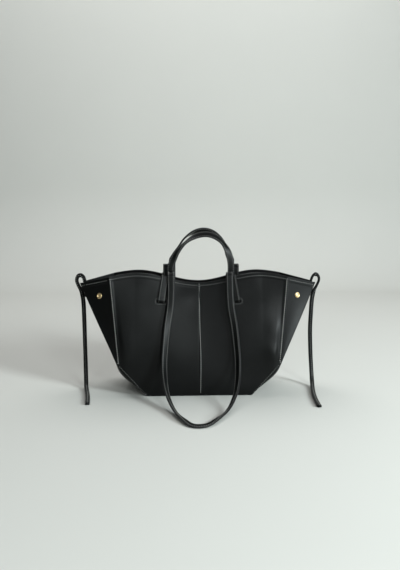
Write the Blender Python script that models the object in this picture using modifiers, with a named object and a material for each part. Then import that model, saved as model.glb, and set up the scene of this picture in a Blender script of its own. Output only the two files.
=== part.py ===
"""Winged leather tote bag, standing on its base with its mouth open.

Metres, +Z up. The base lies on z = 0, the bag's front looks along -Y and its wide
side runs along X. The bag is the same left and right, and front and back, so each
piece is worked out for the front right quarter and then turned over.
"""

import math

import bmesh
import bpy
import numpy as np
from mathutils import Matrix

# Driving sizes of the shell, on its outer face. Corner names: BASE is a corner of the
# base, FOLD the lower end of the side seam, SEAM its upper end, TIP the wing's point.
BASE_HALF_WIDTH = 0.098
BASE_HALF_DEPTH = 0.072
BASE_END_BOW = 0.010
FOLD_X = 0.1535
FOLD_Z = 0.060
SEAM_X = 0.170
SEAM_Y = 0.044
SEAM_Z = 0.222
TIP_X = 0.228
TIP_Y = 0.016
TIP_Z = 0.208
PEAK_X = 0.120
PEAK_Y = 0.035
PEAK_Z = 0.229
MIDDLE_Y = 0.022
MIDDLE_Z = 0.209
FACE_BULGE = 0.012
BULGE_FADE = 0.7
CORNER_SHARE = BASE_HALF_WIDTH / (BASE_HALF_WIDTH + math.hypot(FOLD_X - BASE_HALF_WIDTH, FOLD_Z))
SIDE_BULGE = 0.0075
SIDE_BELLY = 0.0175
SIDE_FULLNESS = 0.65
WING_BULGE = 0.003
GUSSET_TUCK = 0.020
GUSSET_DIP = 0.012
LEATHER = 0.002

# Clearances: GAP lies between pieces that touch, SEAM_GAP where edges meet at an angle,
# LAY_GAP where one piece lies along the curved leather of another, and FOLD_GAP where
# the faces and the wings turn away from each other along the side seams.
GAP = 0.0003
LAY_GAP = 0.0006
FOLD_GAP = 0.0010
SEAM_GAP = 0.0005

# Straps, loops and slots.
STRAP_WIDTH = 0.0128
STRAP_THICKNESS = 0.003
LOOP_WIDTH = 0.0135
LOOP_THICKNESS = 0.0022
LOOP_RISE = 0.0025
LOOP_SLOT_X = 0.0715
LOOP_RIM_X = 0.0650
SLOT_DROP = 0.0455
SLOT_LENGTH = 0.019
SLOT_HEIGHT = 0.0075
PATCH_MARGIN = 0.005
PATCH_THICKNESS = 0.001
FACING_WIDTH = 0.011
FACING_THICKNESS = 0.001

# Long handles: over the rim, down the face and out over the ground in a U. They sway to
# the right at the rim, by their own SWAY_TOP, and by LONG_SWAY_END at the U's far end.
FRONT_LONG_X = 0.0560
FRONT_LONG_RISE = 0.0102
FRONT_LONG_SWAY = 0.0030
FRONT_LONG_CLEARANCE = GAP
BACK_LONG_X = 0.0694
BACK_LONG_RISE = 0.0190
BACK_LONG_SWAY = 0.0063
BACK_LONG_CLEARANCE = 0.0024
LONG_WIDEST_X = 0.0700
LONG_END_Y = 0.2355
LONG_SWAY_END = -0.0062
LONG_FOOT_DROP = 0.024
FALL_TOP = 0.218

# Short handles: an arch over two legs, hinged a little above the long handles' crests.
# Each sways to the right, by its LOW at the legs and its HIGH at the crest, and the front
# one's left shoulder twists more than its right one.
SHORT_LEG_X = 0.0585
SHORT_HINGE_RISE = 0.0043
SHORT_FOOT_DROP = 0.022
FRONT_CREST_Y = 0.0100
FRONT_CREST_Z = 0.3020
FRONT_SWAY_LOW = 0.0044
FRONT_SWAY_HIGH = 0.0130
FRONT_LEFT_TWIST = 3.2
BACK_CREST_Y = 0.0070
BACK_CREST_Z = 0.3093
BACK_SWAY_LOW = 0.0072
BACK_SWAY_HIGH = 0.0105
BACK_LEG_SHIFT = 0.0007
TURN_GAP = 0.0004

# Base board, press studs and side ties.
BOARD_MARGIN = 0.006
BOARD_THICKNESS = 0.0018
STUD_X = 0.1888
STUD_Z = 0.1865
CAP_RADIUS = 0.0053
CAP_HEIGHT = 0.0016
CAP_WELL_RADIUS = 0.0020
CAP_WELL_DEPTH = 0.0006
SHANK_RADIUS = 0.0017
SHANK_CLEARANCE = 0.0003
SOCKET_RADIUS = 0.0050
SOCKET_HEIGHT = 0.0024
STUD_NECK_RADIUS = 0.0019
STUD_HEIGHT = 0.0036
TAB_LENGTH = 0.0155
TAB_HEIGHT = 0.015
TAB_DROP = 0.0015
TIE_X = 0.2205
TAB_THICKNESS = 0.0050
TIE_RADIUS = 0.0025

FACE_COLUMNS = 13
FACE_ROWS = 12
WING_COLUMNS = 4
WING_FOOT_SHARE = 0.04
SIDE_COLUMNS = 11
SIDE_ROWS = 13
QUARTERS = [
    ("front_right", 1, -1),
    ("front_left", -1, -1),
    ("back_right", 1, 1),
    ("back_left", -1, 1),
]


def clear_scene():
    for old in list(bpy.data.objects):
        bpy.data.objects.remove(old, do_unlink=True)


def new_collection(name):
    collection = bpy.data.collections.new(name)
    bpy.context.scene.collection.children.link(collection)
    return collection


def material(name, color, roughness, metallic=0.0):
    made = bpy.data.materials.new(name)
    made.use_nodes = True
    shader = made.node_tree.nodes["Principled BSDF"]
    shader.inputs["Base Color"].default_value = (*color, 1)
    shader.inputs["Roughness"].default_value = roughness
    shader.inputs["Metallic"].default_value = metallic
    return made


def smooth_route(points, count):
    """Evenly spaced points on a smooth curve through the given points, in any number of columns."""
    points = np.array(points, float)
    ends = np.vstack([2 * points[0] - points[1], points, 2 * points[-1] - points[-2]])
    t = np.linspace(0, len(points) - 1, 40 * len(points))
    k = np.minimum(t.astype(int), len(points) - 2)
    f = (t - k)[:, None]
    a, b, c, d = ends[k], ends[k + 1], ends[k + 2], ends[k + 3]
    curve = b + 0.5 * f * (c - a + f * (2 * a - 5 * b + 4 * c - d + f * (3 * (b - c) + d - a)))
    run = np.concatenate([[0], np.cumsum(np.linalg.norm(np.diff(curve[:, :3], axis=0), axis=1))])
    even = np.linspace(0, run[-1], count)
    return np.stack([np.interp(even, run, column) for column in curve.T], axis=1)


def unit(vectors):
    return vectors / np.linalg.norm(vectors, axis=-1, keepdims=True)


def side_turn(points, side, face):
    """Turns points of the front right quarter over to another: side is +-1 in X, face -1 at the front."""
    return points * np.array([side, -face, 1.0])


def rim_curve(x):
    """Depth and height of the front rim's outer edge at distance x from the middle.

    It rises in a soft wave from the sagging middle to the peak, then drops to the seam.
    """
    wave = (1 - np.cos(np.pi * np.minimum(x / PEAK_X, 1))) / 2
    past = np.maximum((x - PEAK_X) / (SEAM_X - PEAK_X), 0)
    y = -(MIDDLE_Y + (PEAK_Y - MIDDLE_Y) * wave + (SEAM_Y - PEAK_Y) * past**1.3)
    z = MIDDLE_Z + (PEAK_Z - MIDDLE_Z) * wave - (PEAK_Z - SEAM_Z) * past**1.6
    return y, z


def face_depth(x, z):
    """Y of the front panel's outer face: it leans from the base's edge in to the rim, with a bulge."""
    rim_y, rim_z = rim_curve(x)
    height = np.clip(z / rim_z, 0, 1)
    bulge = FACE_BULGE * np.sin(np.pi * height**0.7) * (1 - BULGE_FADE * (x / SEAM_X) ** 3)
    return -BASE_HALF_DEPTH + height * (rim_y + BASE_HALF_DEPTH) - bulge


def face_surface(u, v):
    """Front panel: u from the middle to the side seam, v from the base's edge to the rim."""
    low = np.clip((u - CORNER_SHARE) / (1 - CORNER_SHARE), 0, 1)
    bottom_x = np.minimum(u / CORNER_SHARE, 1) * BASE_HALF_WIDTH + low * (FOLD_X - BASE_HALF_WIDTH)
    bottom_z = low * FOLD_Z
    x = bottom_x + v * (u * SEAM_X - bottom_x)
    z = bottom_z + v * (rim_curve(u * SEAM_X)[1] - bottom_z)
    return np.stack([x, face_depth(x, z), z], axis=-1)


def face_point(x, z):
    """The front panel's outer point and outward normal at distance x from the middle and height z."""
    step = 1e-4
    y = face_depth(x, z)
    along_x = (face_depth(x + step, z) - face_depth(x - step, z)) / (2 * step)
    along_z = (y - face_depth(x, z - step)) / step
    return np.array([x, y, z]), unit(np.array([along_x, -1, along_z]))


def wing_edge(v):
    """Outer edge of the front wing, from the fold up to the tip."""
    fold_y = face_depth(FOLD_X, FOLD_Z)
    x = FOLD_X + v * (TIP_X - FOLD_X)
    y = fold_y + v * (-TIP_Y - fold_y) - WING_BULGE * np.sin(np.pi * v)
    z = FOLD_Z + v * (TIP_Z - FOLD_Z)
    return np.stack([x, y, z], axis=-1)


def wing_surface(u, v):
    """Front wing: u from the side seam to the wing's outer edge, v from the fold to the top."""
    seam = face_surface(np.ones_like(v), v)
    return seam + u[..., None] * (wing_edge(v) - seam)


def side_surface(u, v):
    """Side gusset: u from the front edge (-1) to the back (1), v 0 at the base, 1 fold, 2 top."""
    low = np.clip(v, 0, 1)
    high = np.clip(v - 1, 0, 1)
    edge = wing_edge(high)
    x = edge[..., 0] - (1 - low) * (FOLD_X - BASE_HALF_WIDTH)
    z = edge[..., 2] - (1 - low) * FOLD_Z
    outer = np.where(v < 1, face_depth(x, z), edge[..., 1])
    depth = -outer - LEATHER - 2 * SEAM_GAP
    middle = np.cos(np.pi * u / 2) ** (1 - SIDE_FULLNESS * np.sin(np.pi * v / 2))
    bow = BASE_END_BOW + low * (SIDE_BULGE - BASE_END_BOW) + SIDE_BELLY * np.sin(np.pi * low)
    tuck = GUSSET_TUCK * high**2
    x = x - SEAM_GAP + (bow * (1 - high) - tuck) * middle
    z = z - GUSSET_DIP * high**4 * middle
    return np.stack([x, u * depth, z], axis=-1)


def grid_mesh(name, points):
    """Open sheet over a grid of points, with its faces turned away from the bag's inside."""
    rows, columns, _ = points.shape
    index = np.arange(rows * columns).reshape(rows, columns)
    quads = np.stack([index[:-1, :-1], index[1:, :-1], index[1:, 1:], index[:-1, 1:]], axis=-1).reshape(-1, 4)
    flat = points.reshape(-1, 3)
    normals = np.cross(flat[quads[:, 2]] - flat[quads[:, 0]], flat[quads[:, 3]] - flat[quads[:, 1]])
    inside = np.array([0, 0, SEAM_Z / 2])
    if (normals * (flat[quads].mean(axis=1) - inside)).sum() < 0:
        quads = quads[:, ::-1]
    mesh = bpy.data.meshes.new(name)
    mesh.from_pydata(flat.tolist(), [], quads.tolist())
    return mesh


def sheet(name, points, thickness, look, collection):
    """A leather sheet: the open surface is its outer face, and Solidify gives it its thickness inwards."""
    piece = bpy.data.objects.new(name, grid_mesh(name, points))
    piece.data.materials.append(look)
    piece.data.shade_smooth()
    collection.objects.link(piece)
    solid = piece.modifiers.new("thickness", "SOLIDIFY")
    solid.thickness = thickness
    solid.offset = -1
    solid.use_even_offset = True
    return piece


def closed_mesh(name, points, ring):
    """Solid over sections: points is stations x section corners. ring joins the last station to the first."""
    stations, corners, _ = points.shape
    index = np.arange(stations * corners).reshape(stations, corners)
    follow = np.vstack([index[1:], index[:1]]) if ring else index[1:]
    here = index if ring else index[:-1]
    quads = np.stack([here, follow, np.roll(follow, -1, 1), np.roll(here, -1, 1)], axis=-1).reshape(-1, 4)
    faces = quads.tolist()
    if not ring:
        faces += [index[0].tolist(), index[-1][::-1].tolist()]
    mesh = bpy.data.meshes.new(name)
    mesh.from_pydata(points.reshape(-1, 3).tolist(), [], faces)
    body = bmesh.new()
    body.from_mesh(mesh)
    bmesh.ops.recalc_face_normals(body, faces=body.faces)
    body.to_mesh(mesh)
    body.free()
    return mesh


def strap_points(centres, across, outward, width, thickness):
    """Rectangular section of a strap at each centre; width and thickness may change along it."""
    half_w = (np.ones(len(centres)) * width / 2)[:, None] * across
    half_t = (np.ones(len(centres)) * thickness / 2)[:, None] * outward
    top = [centres + half_w + half_t, centres - half_w + half_t]
    under = [centres - half_w - half_t, centres + half_w - half_t]
    return np.stack(top + under, axis=1)


def strap_mesh(name, route, count, round_start=False, round_end=False):
    """A flat strap along a route of points, each with the direction its face looks in.

    A rounded end goes on past the route by half the thickness, so that it can turn about
    the end point of the route and keep clear of what it was cut from.
    """
    line = smooth_route(route, count)
    centres, outward = line[:, :3], line[:, 3:]
    along = unit(np.gradient(centres, axis=0))
    ends = np.array([route[0][:3], route[1][:3], route[-2][:3], route[-1][:3]])
    along[0] = unit(ends[1] - ends[0])
    along[-1] = unit(ends[3] - ends[2])
    across = unit(np.cross(along, outward))
    outward = unit(np.cross(across, along))
    thickness = np.full(count, STRAP_THICKNESS)
    for is_round, end, step in ((round_start, 0, -1), (round_end, -1, 1)):
        if not is_round:
            continue
        turn_point = centres[end].copy()
        for angle in (math.radians(40), math.radians(80)):
            far = step * math.sin(angle) * STRAP_THICKNESS / 2
            place = 0 if step < 0 else len(centres)
            centres = np.insert(centres, place, turn_point + along[end] * far, axis=0)
            along = np.insert(along, place, along[end], axis=0)
            across = np.insert(across, place, across[end], axis=0)
            outward = np.insert(outward, place, outward[end], axis=0)
            thickness = np.insert(thickness, place, STRAP_THICKNESS * math.cos(angle))
    return closed_mesh(name, strap_points(centres, across, outward, STRAP_WIDTH, thickness), False)


def add_piece(name, mesh, look, collection, origin=(0, 0, 0)):
    """Adds a mesh made in world coordinates as an object whose origin is at the given place."""
    mesh.materials.append(look)
    mesh.shade_smooth()
    mesh.set_sharp_from_angle(angle=math.radians(35))
    mesh.transform(Matrix.Translation(origin).inverted())
    piece = bpy.data.objects.new(name, mesh)
    piece.location = origin
    collection.objects.link(piece)
    return piece


def turned(name, profile, look, collection, place, axis, steps=20):
    """A turned piece: profile gives radius and height pairs up its outside, along axis."""
    body = bmesh.new()
    points = [body.verts.new((radius, 0, height)) for radius, height in profile]
    edges = [body.edges.new(pair) for pair in zip(points, points[1:])]
    bmesh.ops.spin(
        body,
        geom=points + edges,
        axis=(0, 0, 1),
        cent=(0, 0, 0),
        angle=2 * math.pi,
        steps=steps,
        use_merge=True,
    )
    bmesh.ops.remove_doubles(body, verts=body.verts, dist=0.00005)
    bmesh.ops.recalc_face_normals(body, faces=body.faces)
    mesh = bpy.data.meshes.new(name)
    body.to_mesh(mesh)
    body.free()
    along = unit(np.array(axis, float))
    across = unit(np.cross((0.0, 0.0, 1.0), along))
    turn = Matrix(np.column_stack([across, np.cross(along, across), along]).tolist()).to_4x4()
    mesh.transform(Matrix.Translation(place) @ turn)
    return add_piece(name, mesh, look, collection, place)


def cut(piece, cutter):
    """Cuts a piece by a cutter."""
    opening = piece.modifiers.new(cutter.name, "BOOLEAN")
    opening.operation = "DIFFERENCE"
    opening.object = cutter
    opening.solver = "EXACT"


def slot_cutter(name, centre, normal, cutters):
    """Stadium-shaped cutter for a strap slot, square to the leather at the slot's centre."""
    half = (SLOT_LENGTH - SLOT_HEIGHT) / 2
    turns = np.radians(np.linspace(-90, 90, 7))
    right = [(half + math.cos(a) * SLOT_HEIGHT / 2, math.sin(a) * SLOT_HEIGHT / 2) for a in turns]
    left = [(-x, -z) for x, z in right]
    outline = np.array(right + left)
    across = unit(np.cross((0.0, 0.0, 1.0), normal))
    up = np.cross(normal, across)
    flat = centre + outline[:, :1] * across + outline[:, 1:] * up
    reach = 0.008
    mesh = closed_mesh(name, np.stack([flat + normal * reach, flat - normal * reach]), False)
    cutter = bpy.data.objects.new(name, mesh)
    cutter.hide_render = True
    cutter.display_type = "WIRE"
    cutters.objects.link(cutter)
    return cutter


def round_cutter(name, centre, normal, radius, cutters):
    """Round hole for a stud's shank."""
    turns = np.linspace(0, 2 * math.pi, 16, endpoint=False)
    across = unit(np.cross((0.0, 0.0, 1.0), normal))
    up = np.cross(normal, across)
    ring = centre + radius * (np.cos(turns)[:, None] * across + np.sin(turns)[:, None] * up)
    reach = 0.006
    mesh = closed_mesh(name, np.stack([ring + normal * reach, ring - normal * reach]), False)
    cutter = bpy.data.objects.new(name, mesh)
    cutter.hide_render = True
    cutter.display_type = "WIRE"
    cutters.objects.link(cutter)
    return cutter


def slot_height(x):
    return float(rim_curve(x)[1]) - SLOT_DROP


def wing_point(x, z):
    """The wing's outer point and outward normal at distance x from the middle and height z."""
    u, v = 0.35, 0.85
    for _ in range(40):
        found = wing_surface(np.array(u), np.array(v))
        u = u + (x - found[0]) / (TIP_X - SEAM_X)
        v = v + (z - found[2]) / (TIP_Z - FOLD_Z)
    step = 1e-4
    across = wing_surface(np.array(u + step), np.array(v)) - found
    up = wing_surface(np.array(u), np.array(v + step)) - found
    normal = unit(np.cross(across, up))
    return found, -normal if normal[1] > 0 else normal


def build_panels(looks, parts, cutters):
    """Four face panels with their slots, and four wings with their stud holes."""
    half = FACE_COLUMNS // 2 + 1
    base_part = np.linspace(GAP / 2 / SEAM_X, CORNER_SHARE, half)
    side_part = np.linspace(CORNER_SHARE, 1 - FOLD_GAP / SEAM_X, half)
    columns = np.concatenate([base_part, side_part[1:]])
    v, u = np.meshgrid(np.linspace(0, 1, FACE_ROWS), columns, indexing="ij")
    face = face_surface(u, v)
    wing_rows = np.linspace(WING_FOOT_SHARE, 1, FACE_ROWS)
    wing_v, wing_u = np.meshgrid(wing_rows, np.linspace(0, 1, WING_COLUMNS), indexing="ij")
    wing = wing_surface(wing_u, wing_v)
    inward = unit(wing[:, -1:] - wing[:, :1])
    wing = wing + inward * FOLD_GAP * (1 - wing_u[..., None])
    slot_x = LOOP_SLOT_X
    slot, slot_normal = face_point(slot_x, slot_height(slot_x))
    stud, stud_normal = wing_point(STUD_X, STUD_Z)
    for quarter, side, way in QUARTERS:
        panel = sheet(quarter + "_panel", side_turn(face, side, way), LEATHER, looks["leather"], parts)
        place = side_turn(slot, side, way)
        normal = side_turn(slot_normal, side, way)
        slot_cut = slot_cutter(quarter + "_slot", place, normal, cutters)
        cut(panel, slot_cut)
        build_patch(quarter, side, way, looks, parts, slot_cut)
        piece = sheet(quarter + "_wing", side_turn(wing, side, way), LEATHER, looks["leather"], parts)
        place = side_turn(stud, side, way)
        normal = side_turn(stud_normal, side, way)
        hole = round_cutter(quarter + "_stud_hole", place, normal, SHANK_RADIUS + SHANK_CLEARANCE, cutters)
        cut(piece, hole)
        build_stud(quarter, way, place, normal, looks, parts)


def face_grid(xs, zs, inwards):
    """Points on the front panel over distances xs and heights zs, moved inwards along its normal."""
    rows = []
    for z_row in zs:
        row = []
        for x, z in zip(xs, z_row):
            point, normal = face_point(x, z)
            row.append(point - normal * inwards)
        rows.append(row)
    return np.array(rows)


def build_patch(quarter, side, way, looks, parts, slot_cut):
    """Leather patch that backs a slot on the inside of its panel."""
    half_x = SLOT_LENGTH / 2 + PATCH_MARGIN
    half_z = SLOT_HEIGHT / 2 + PATCH_MARGIN
    xs = np.linspace(LOOP_SLOT_X - half_x, LOOP_SLOT_X + half_x, 5)
    middle = slot_height(LOOP_SLOT_X)
    zs = np.linspace(middle - half_z, middle + half_z, 4)[:, None] + np.zeros(5)
    points = face_grid(xs, zs, LEATHER + LAY_GAP)
    points = side_turn(points, side, way)
    patch = sheet(quarter + "_slot_patch", points, PATCH_THICKNESS, looks["lining"], parts)
    cut(patch, slot_cut)


def build_stud(quarter, way, place, normal, looks, parts):
    """Press-stud cap on the outside, with its shank, and a socket (front) or stud (back) on the inside."""
    under = GAP
    top = under + CAP_HEIGHT
    shank_end = -(LEATHER + 0.0012)
    cap = [
        (0, shank_end),
        (SHANK_RADIUS, shank_end),
        (SHANK_RADIUS, under),
        (CAP_RADIUS, under),
        (CAP_RADIUS, under + CAP_HEIGHT * 0.4),
        (CAP_RADIUS * 0.85, top - CAP_HEIGHT * 0.12),
        (CAP_RADIUS * 0.62, top),
        (CAP_WELL_RADIUS, top - CAP_WELL_DEPTH * 0.4),
        (CAP_WELL_RADIUS * 0.9, top - CAP_WELL_DEPTH),
        (0, top - CAP_WELL_DEPTH),
    ]
    turned(quarter + "_stud_cap", cap, looks["brass"], parts, place, normal)
    bore = SHANK_RADIUS + SHANK_CLEARANCE
    face = -(LEATHER + GAP)
    if way < 0:
        low = face - SOCKET_HEIGHT
        socket = [
            (bore, face),
            (bore, face - 0.0013),
            (0, face - 0.0013),
            (0, face - 0.0018),
            (STUD_NECK_RADIUS, face - 0.0018),
            (STUD_NECK_RADIUS, low),
            (SOCKET_RADIUS * 0.8, low),
            (SOCKET_RADIUS, low + 0.0006),
            (SOCKET_RADIUS, face),
            (bore, face),
        ]
        turned(quarter + "_stud_socket", socket, looks["brass"], parts, place, normal)
    else:
        low = face - STUD_HEIGHT
        post = [
            (bore, face),
            (bore, face - 0.0013),
            (0, face - 0.0013),
        ]
        post += [
            (0, low),
            (STUD_NECK_RADIUS * 0.7, low),
            (STUD_NECK_RADIUS, low + 0.0006),
            (STUD_NECK_RADIUS * 0.85, low + 0.0012),
            (STUD_NECK_RADIUS * 0.85, face - 0.0018),
            (SOCKET_RADIUS, face - 0.0016),
            (SOCKET_RADIUS, face),
            (bore, face),
        ]
        turned(quarter + "_stud_post", post, looks["brass"], parts, place, normal)


def build_facings(looks, parts):
    """Thin leather strip that lines the rim on the inside, along each face."""
    xs = np.linspace(-(SEAM_X - 0.004), SEAM_X - 0.004, 25)
    top = rim_curve(np.abs(xs))[1] - GAP
    rows = []
    for drop in (FACING_WIDTH, FACING_WIDTH / 2, 0):
        row = []
        for x, z in zip(xs, top - drop):
            point, normal = face_point(abs(x), z)
            inner = point - normal * (LEATHER + LAY_GAP)
            row.append(inner * np.array([1 if x >= 0 else -1, 1, 1]))
        rows.append(row)
    points = np.array(rows)
    for name, way in (("front", -1), ("back", 1)):
        sheet(name + "_rim_facing", side_turn(points, 1, way), FACING_THICKNESS, looks["lining"], parts)


def build_sides(looks, parts):
    """Side gussets, from the base up to the tucked-in top between the wings."""
    rows = np.concatenate([np.linspace(0, 1, 5), np.linspace(1, 2, SIDE_ROWS - 4)[1:]])
    v, u = np.meshgrid(rows, np.linspace(-1, 1, SIDE_COLUMNS), indexing="ij")
    points = side_surface(u, v)
    for name, side in (("right", 1), ("left", -1)):
        sheet(name + "_side_gusset", side_turn(points, side, -1), LEATHER, looks["leather"], parts)


def base_outline(margin):
    """Outline of the base, drawn in from the side gussets' and panels' outer faces by margin."""
    depth = BASE_HALF_DEPTH - margin
    turns = np.linspace(-1, 1, 9)
    right = [(BASE_HALF_WIDTH - margin + BASE_END_BOW * math.cos(math.pi * t / 2), t * depth) for t in turns]
    left = [(-x, -y) for x, y in right]
    return right + left


def flat_plate(name, outline, bottom, thickness, look, collection):
    """Flat plate: a filled 2D curve, extruded by half its thickness each way."""
    curve = bpy.data.curves.new(name, "CURVE")
    curve.dimensions = "2D"
    curve.fill_mode = "BOTH"
    curve.extrude = thickness / 2
    line = curve.splines.new("POLY")
    line.points.add(len(outline) - 1)
    for point, (x, y) in zip(line.points, outline):
        point.co = (x, y, 0, 1)
    line.use_cyclic_u = True
    curve.materials.append(look)
    plate = bpy.data.objects.new(name, curve)
    plate.location = (0, 0, bottom + thickness / 2)
    collection.objects.link(plate)


def build_base(looks, parts):
    """Leather base, and the stiff board that lies on it inside the bag."""
    flat_plate("base_panel", base_outline(LEATHER + 2 * SEAM_GAP), 0, LEATHER, looks["leather"], parts)
    margin = LEATHER + BOARD_MARGIN
    flat_plate("base_board", base_outline(margin), LEATHER + GAP, BOARD_THICKNESS, looks["lining"], parts)


def build_loops(looks, parts):
    """Leather loop through each slot and over the rim, which carries the handles' ends."""
    outer = LAY_GAP + LOOP_THICKNESS / 2
    inner = LEATHER + LAY_GAP + FACING_THICKNESS + LAY_GAP + LOOP_THICKNESS / 2
    low = slot_height(LOOP_SLOT_X)
    rim_z = float(rim_curve(LOOP_RIM_X)[1])
    shares = np.linspace(0, 1, 6)
    outside = []
    inside = []
    for share in shares:
        x = LOOP_SLOT_X + share * (LOOP_RIM_X - LOOP_SLOT_X)
        z = low + 0.0005 + share * (rim_z - 0.0010 - low)
        point, normal = face_point(x, z)
        outside.append(point + normal * outer)
        inside.append(point - normal * inner)
    rim, normal = face_point(LOOP_RIM_X, rim_z)
    up = np.array([0, -normal[2], -normal[1]])
    reach = (outer + inner) / 2
    middle = rim + normal * (outer - inner) / 2 + up * 0.0002
    turns = np.radians([25, 55, 90, 125, 155])
    over = [middle + normal * reach * math.cos(a) + up * LOOP_RISE * math.sin(a) for a in turns]
    ring = np.array(outside + over + inside[::-1])
    along = unit(np.roll(ring, -1, 0) - np.roll(ring, 1, 0))
    slant = unit(outside[-1] - outside[0])
    middle_normal = face_point((LOOP_SLOT_X + LOOP_RIM_X) / 2, (low + rim_z) / 2)[1]
    across = np.tile(unit(np.cross(slant, middle_normal)), (len(ring), 1))
    outward = unit(np.cross(along, across))
    points = strap_points(ring, across, outward, LOOP_WIDTH, LOOP_THICKNESS)
    for quarter, side, way in QUARTERS:
        mesh = closed_mesh(quarter + "_rim_loop", side_turn(points, side, way), True)
        add_piece(quarter + "_rim_loop", mesh, looks["leather"], parts)


def inside_depth(x, z, clearance):
    """Y of a strap's middle that hangs inside the front, clearance behind the rim loop's inner run."""
    point, normal = face_point(x, z)
    behind = LEATHER + 2 * LAY_GAP + FACING_THICKNESS + LOOP_THICKNESS + clearance + STRAP_THICKNESS / 2
    return float(point[1] + behind / abs(normal[1]))


def long_hinge(x, rise, clearance):
    """Depth and height of a front long handle's crest, which lies at x and by rise above the rim."""
    rim_z = float(rim_curve(x)[1])
    inside = inside_depth(x, rim_z - 0.002, clearance)
    outside = face_point(x, rim_z)[0][1]
    return (inside + outside - LOOP_THICKNESS - STRAP_THICKNESS) / 2 - 0.001, rim_z + rise


def long_route(points, sway, side, way):
    """Turns a long handle's route over to a quarter and adds its sway, which grows with depth cubed."""
    route = np.array(points) * np.array([side, -way, 1, side, -way, 1])
    reach = np.abs(route[:, 1]) / LONG_END_Y
    route[:, 0] += sway + (LONG_SWAY_END - sway) * reach**3
    return route


def build_long_handles(looks, parts):
    """Long handles, each a U hung from two crests over the rim, with its ends fixed inside."""
    # Down the face and over the ground: shares of the widest x, of the far end's depth
    # and of the rim's height, then the direction in which the strap's face looks. The
    # strap turns half on edge on its way down and lies flat again at the U's far end.
    fall = [
        (0.895, 0.272, 0.612, -0.4, -1, 0.3),
        (0.945, 0.308, 0.466, -0.7, -1, 0.35),
        (0.975, 0.350, 0.324, -0.9, -1, 0.4),
        (0.955, 0.425, 0.187, -1, -0.85, 0.5),
        (0.865, 0.553, 0.0965, -0.95, -0.3, 0.7),
        (0.662, 0.725, 0.0330, -0.8, 0.05, 0.8),
        (0.410, 0.880, 0.0205, -0.45, 0.1, 1),
        (0.155, 0.982, 0.0110, -0.1, 0, 1),
    ]
    front_start = [(0.800, 0.1935, 0.868, 0, -1, 0.2), (0.825, 0.233, 0.749, -0.1, -1, 0.3)]
    back_start = [(0.940, 0.2080, 0.868, 0, -1, 0.2), (0.910, 0.240, 0.749, -0.1, -1, 0.3)]
    for name, way, x, rise, clearance, sway, start in (
        ("front", -1, FRONT_LONG_X, FRONT_LONG_RISE, FRONT_LONG_CLEARANCE, FRONT_LONG_SWAY, front_start),
        ("back", 1, BACK_LONG_X, BACK_LONG_RISE, BACK_LONG_CLEARANCE, BACK_LONG_SWAY, back_start),
    ):
        rim_z = float(rim_curve(x)[1])
        low = rim_z - LONG_FOOT_DROP
        y_low = inside_depth(x, low, clearance)
        y_rim = inside_depth(x, rim_z - 0.002, clearance)
        hinge_y, crest_z = long_hinge(x, rise, clearance)
        end_y = hinge_y + STRAP_THICKNESS / 2 + TURN_GAP
        foot = [
            (x, y_low, low, 0, 1, 0),
            (x, (y_low + y_rim) / 2, (low + rim_z) / 2, 0, 1, 0.1),
            (x, y_rim, rim_z, 0, 1, 0.2),
            (x, (y_rim + end_y) / 2 + 0.0024, crest_z - 0.0030, 0, 0.8, 0.6),
            (x, end_y + 0.0018, crest_z, 0, 0, 1),
            (x, end_y, crest_z, 0, 0, 1),
        ]
        drape = [
            (x, hinge_y, crest_z, 0, 0, 1),
            (x, hinge_y - 0.0066, crest_z - 0.0028, 0, -0.8, 0.6),
            (x, hinge_y - 0.0090, rim_z - 0.003, 0, -1, 0.1),
        ]
        for across, depth, height, *normal in start + fall:
            drape.append((across * LONG_WIDEST_X, -depth * LONG_END_Y, height * FALL_TOP, *normal))
        right, left = long_route(drape, sway, 1, way), long_route(drape, sway, -1, way)[::-1]
        mesh = strap_mesh(name + "_long_handle", np.concatenate([right, left]), 73, True, True)
        add_piece(name + "_long_handle", mesh, looks["leather"], parts, (0, -way * hinge_y, crest_z))
        for side_name, side in (("right", 1), ("left", -1)):
            label = f"{name}_{side_name}_long_end"
            mesh = strap_mesh(label, long_route(foot, sway, side, way), 12)
            add_piece(label, mesh, looks["leather"], parts)


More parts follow.
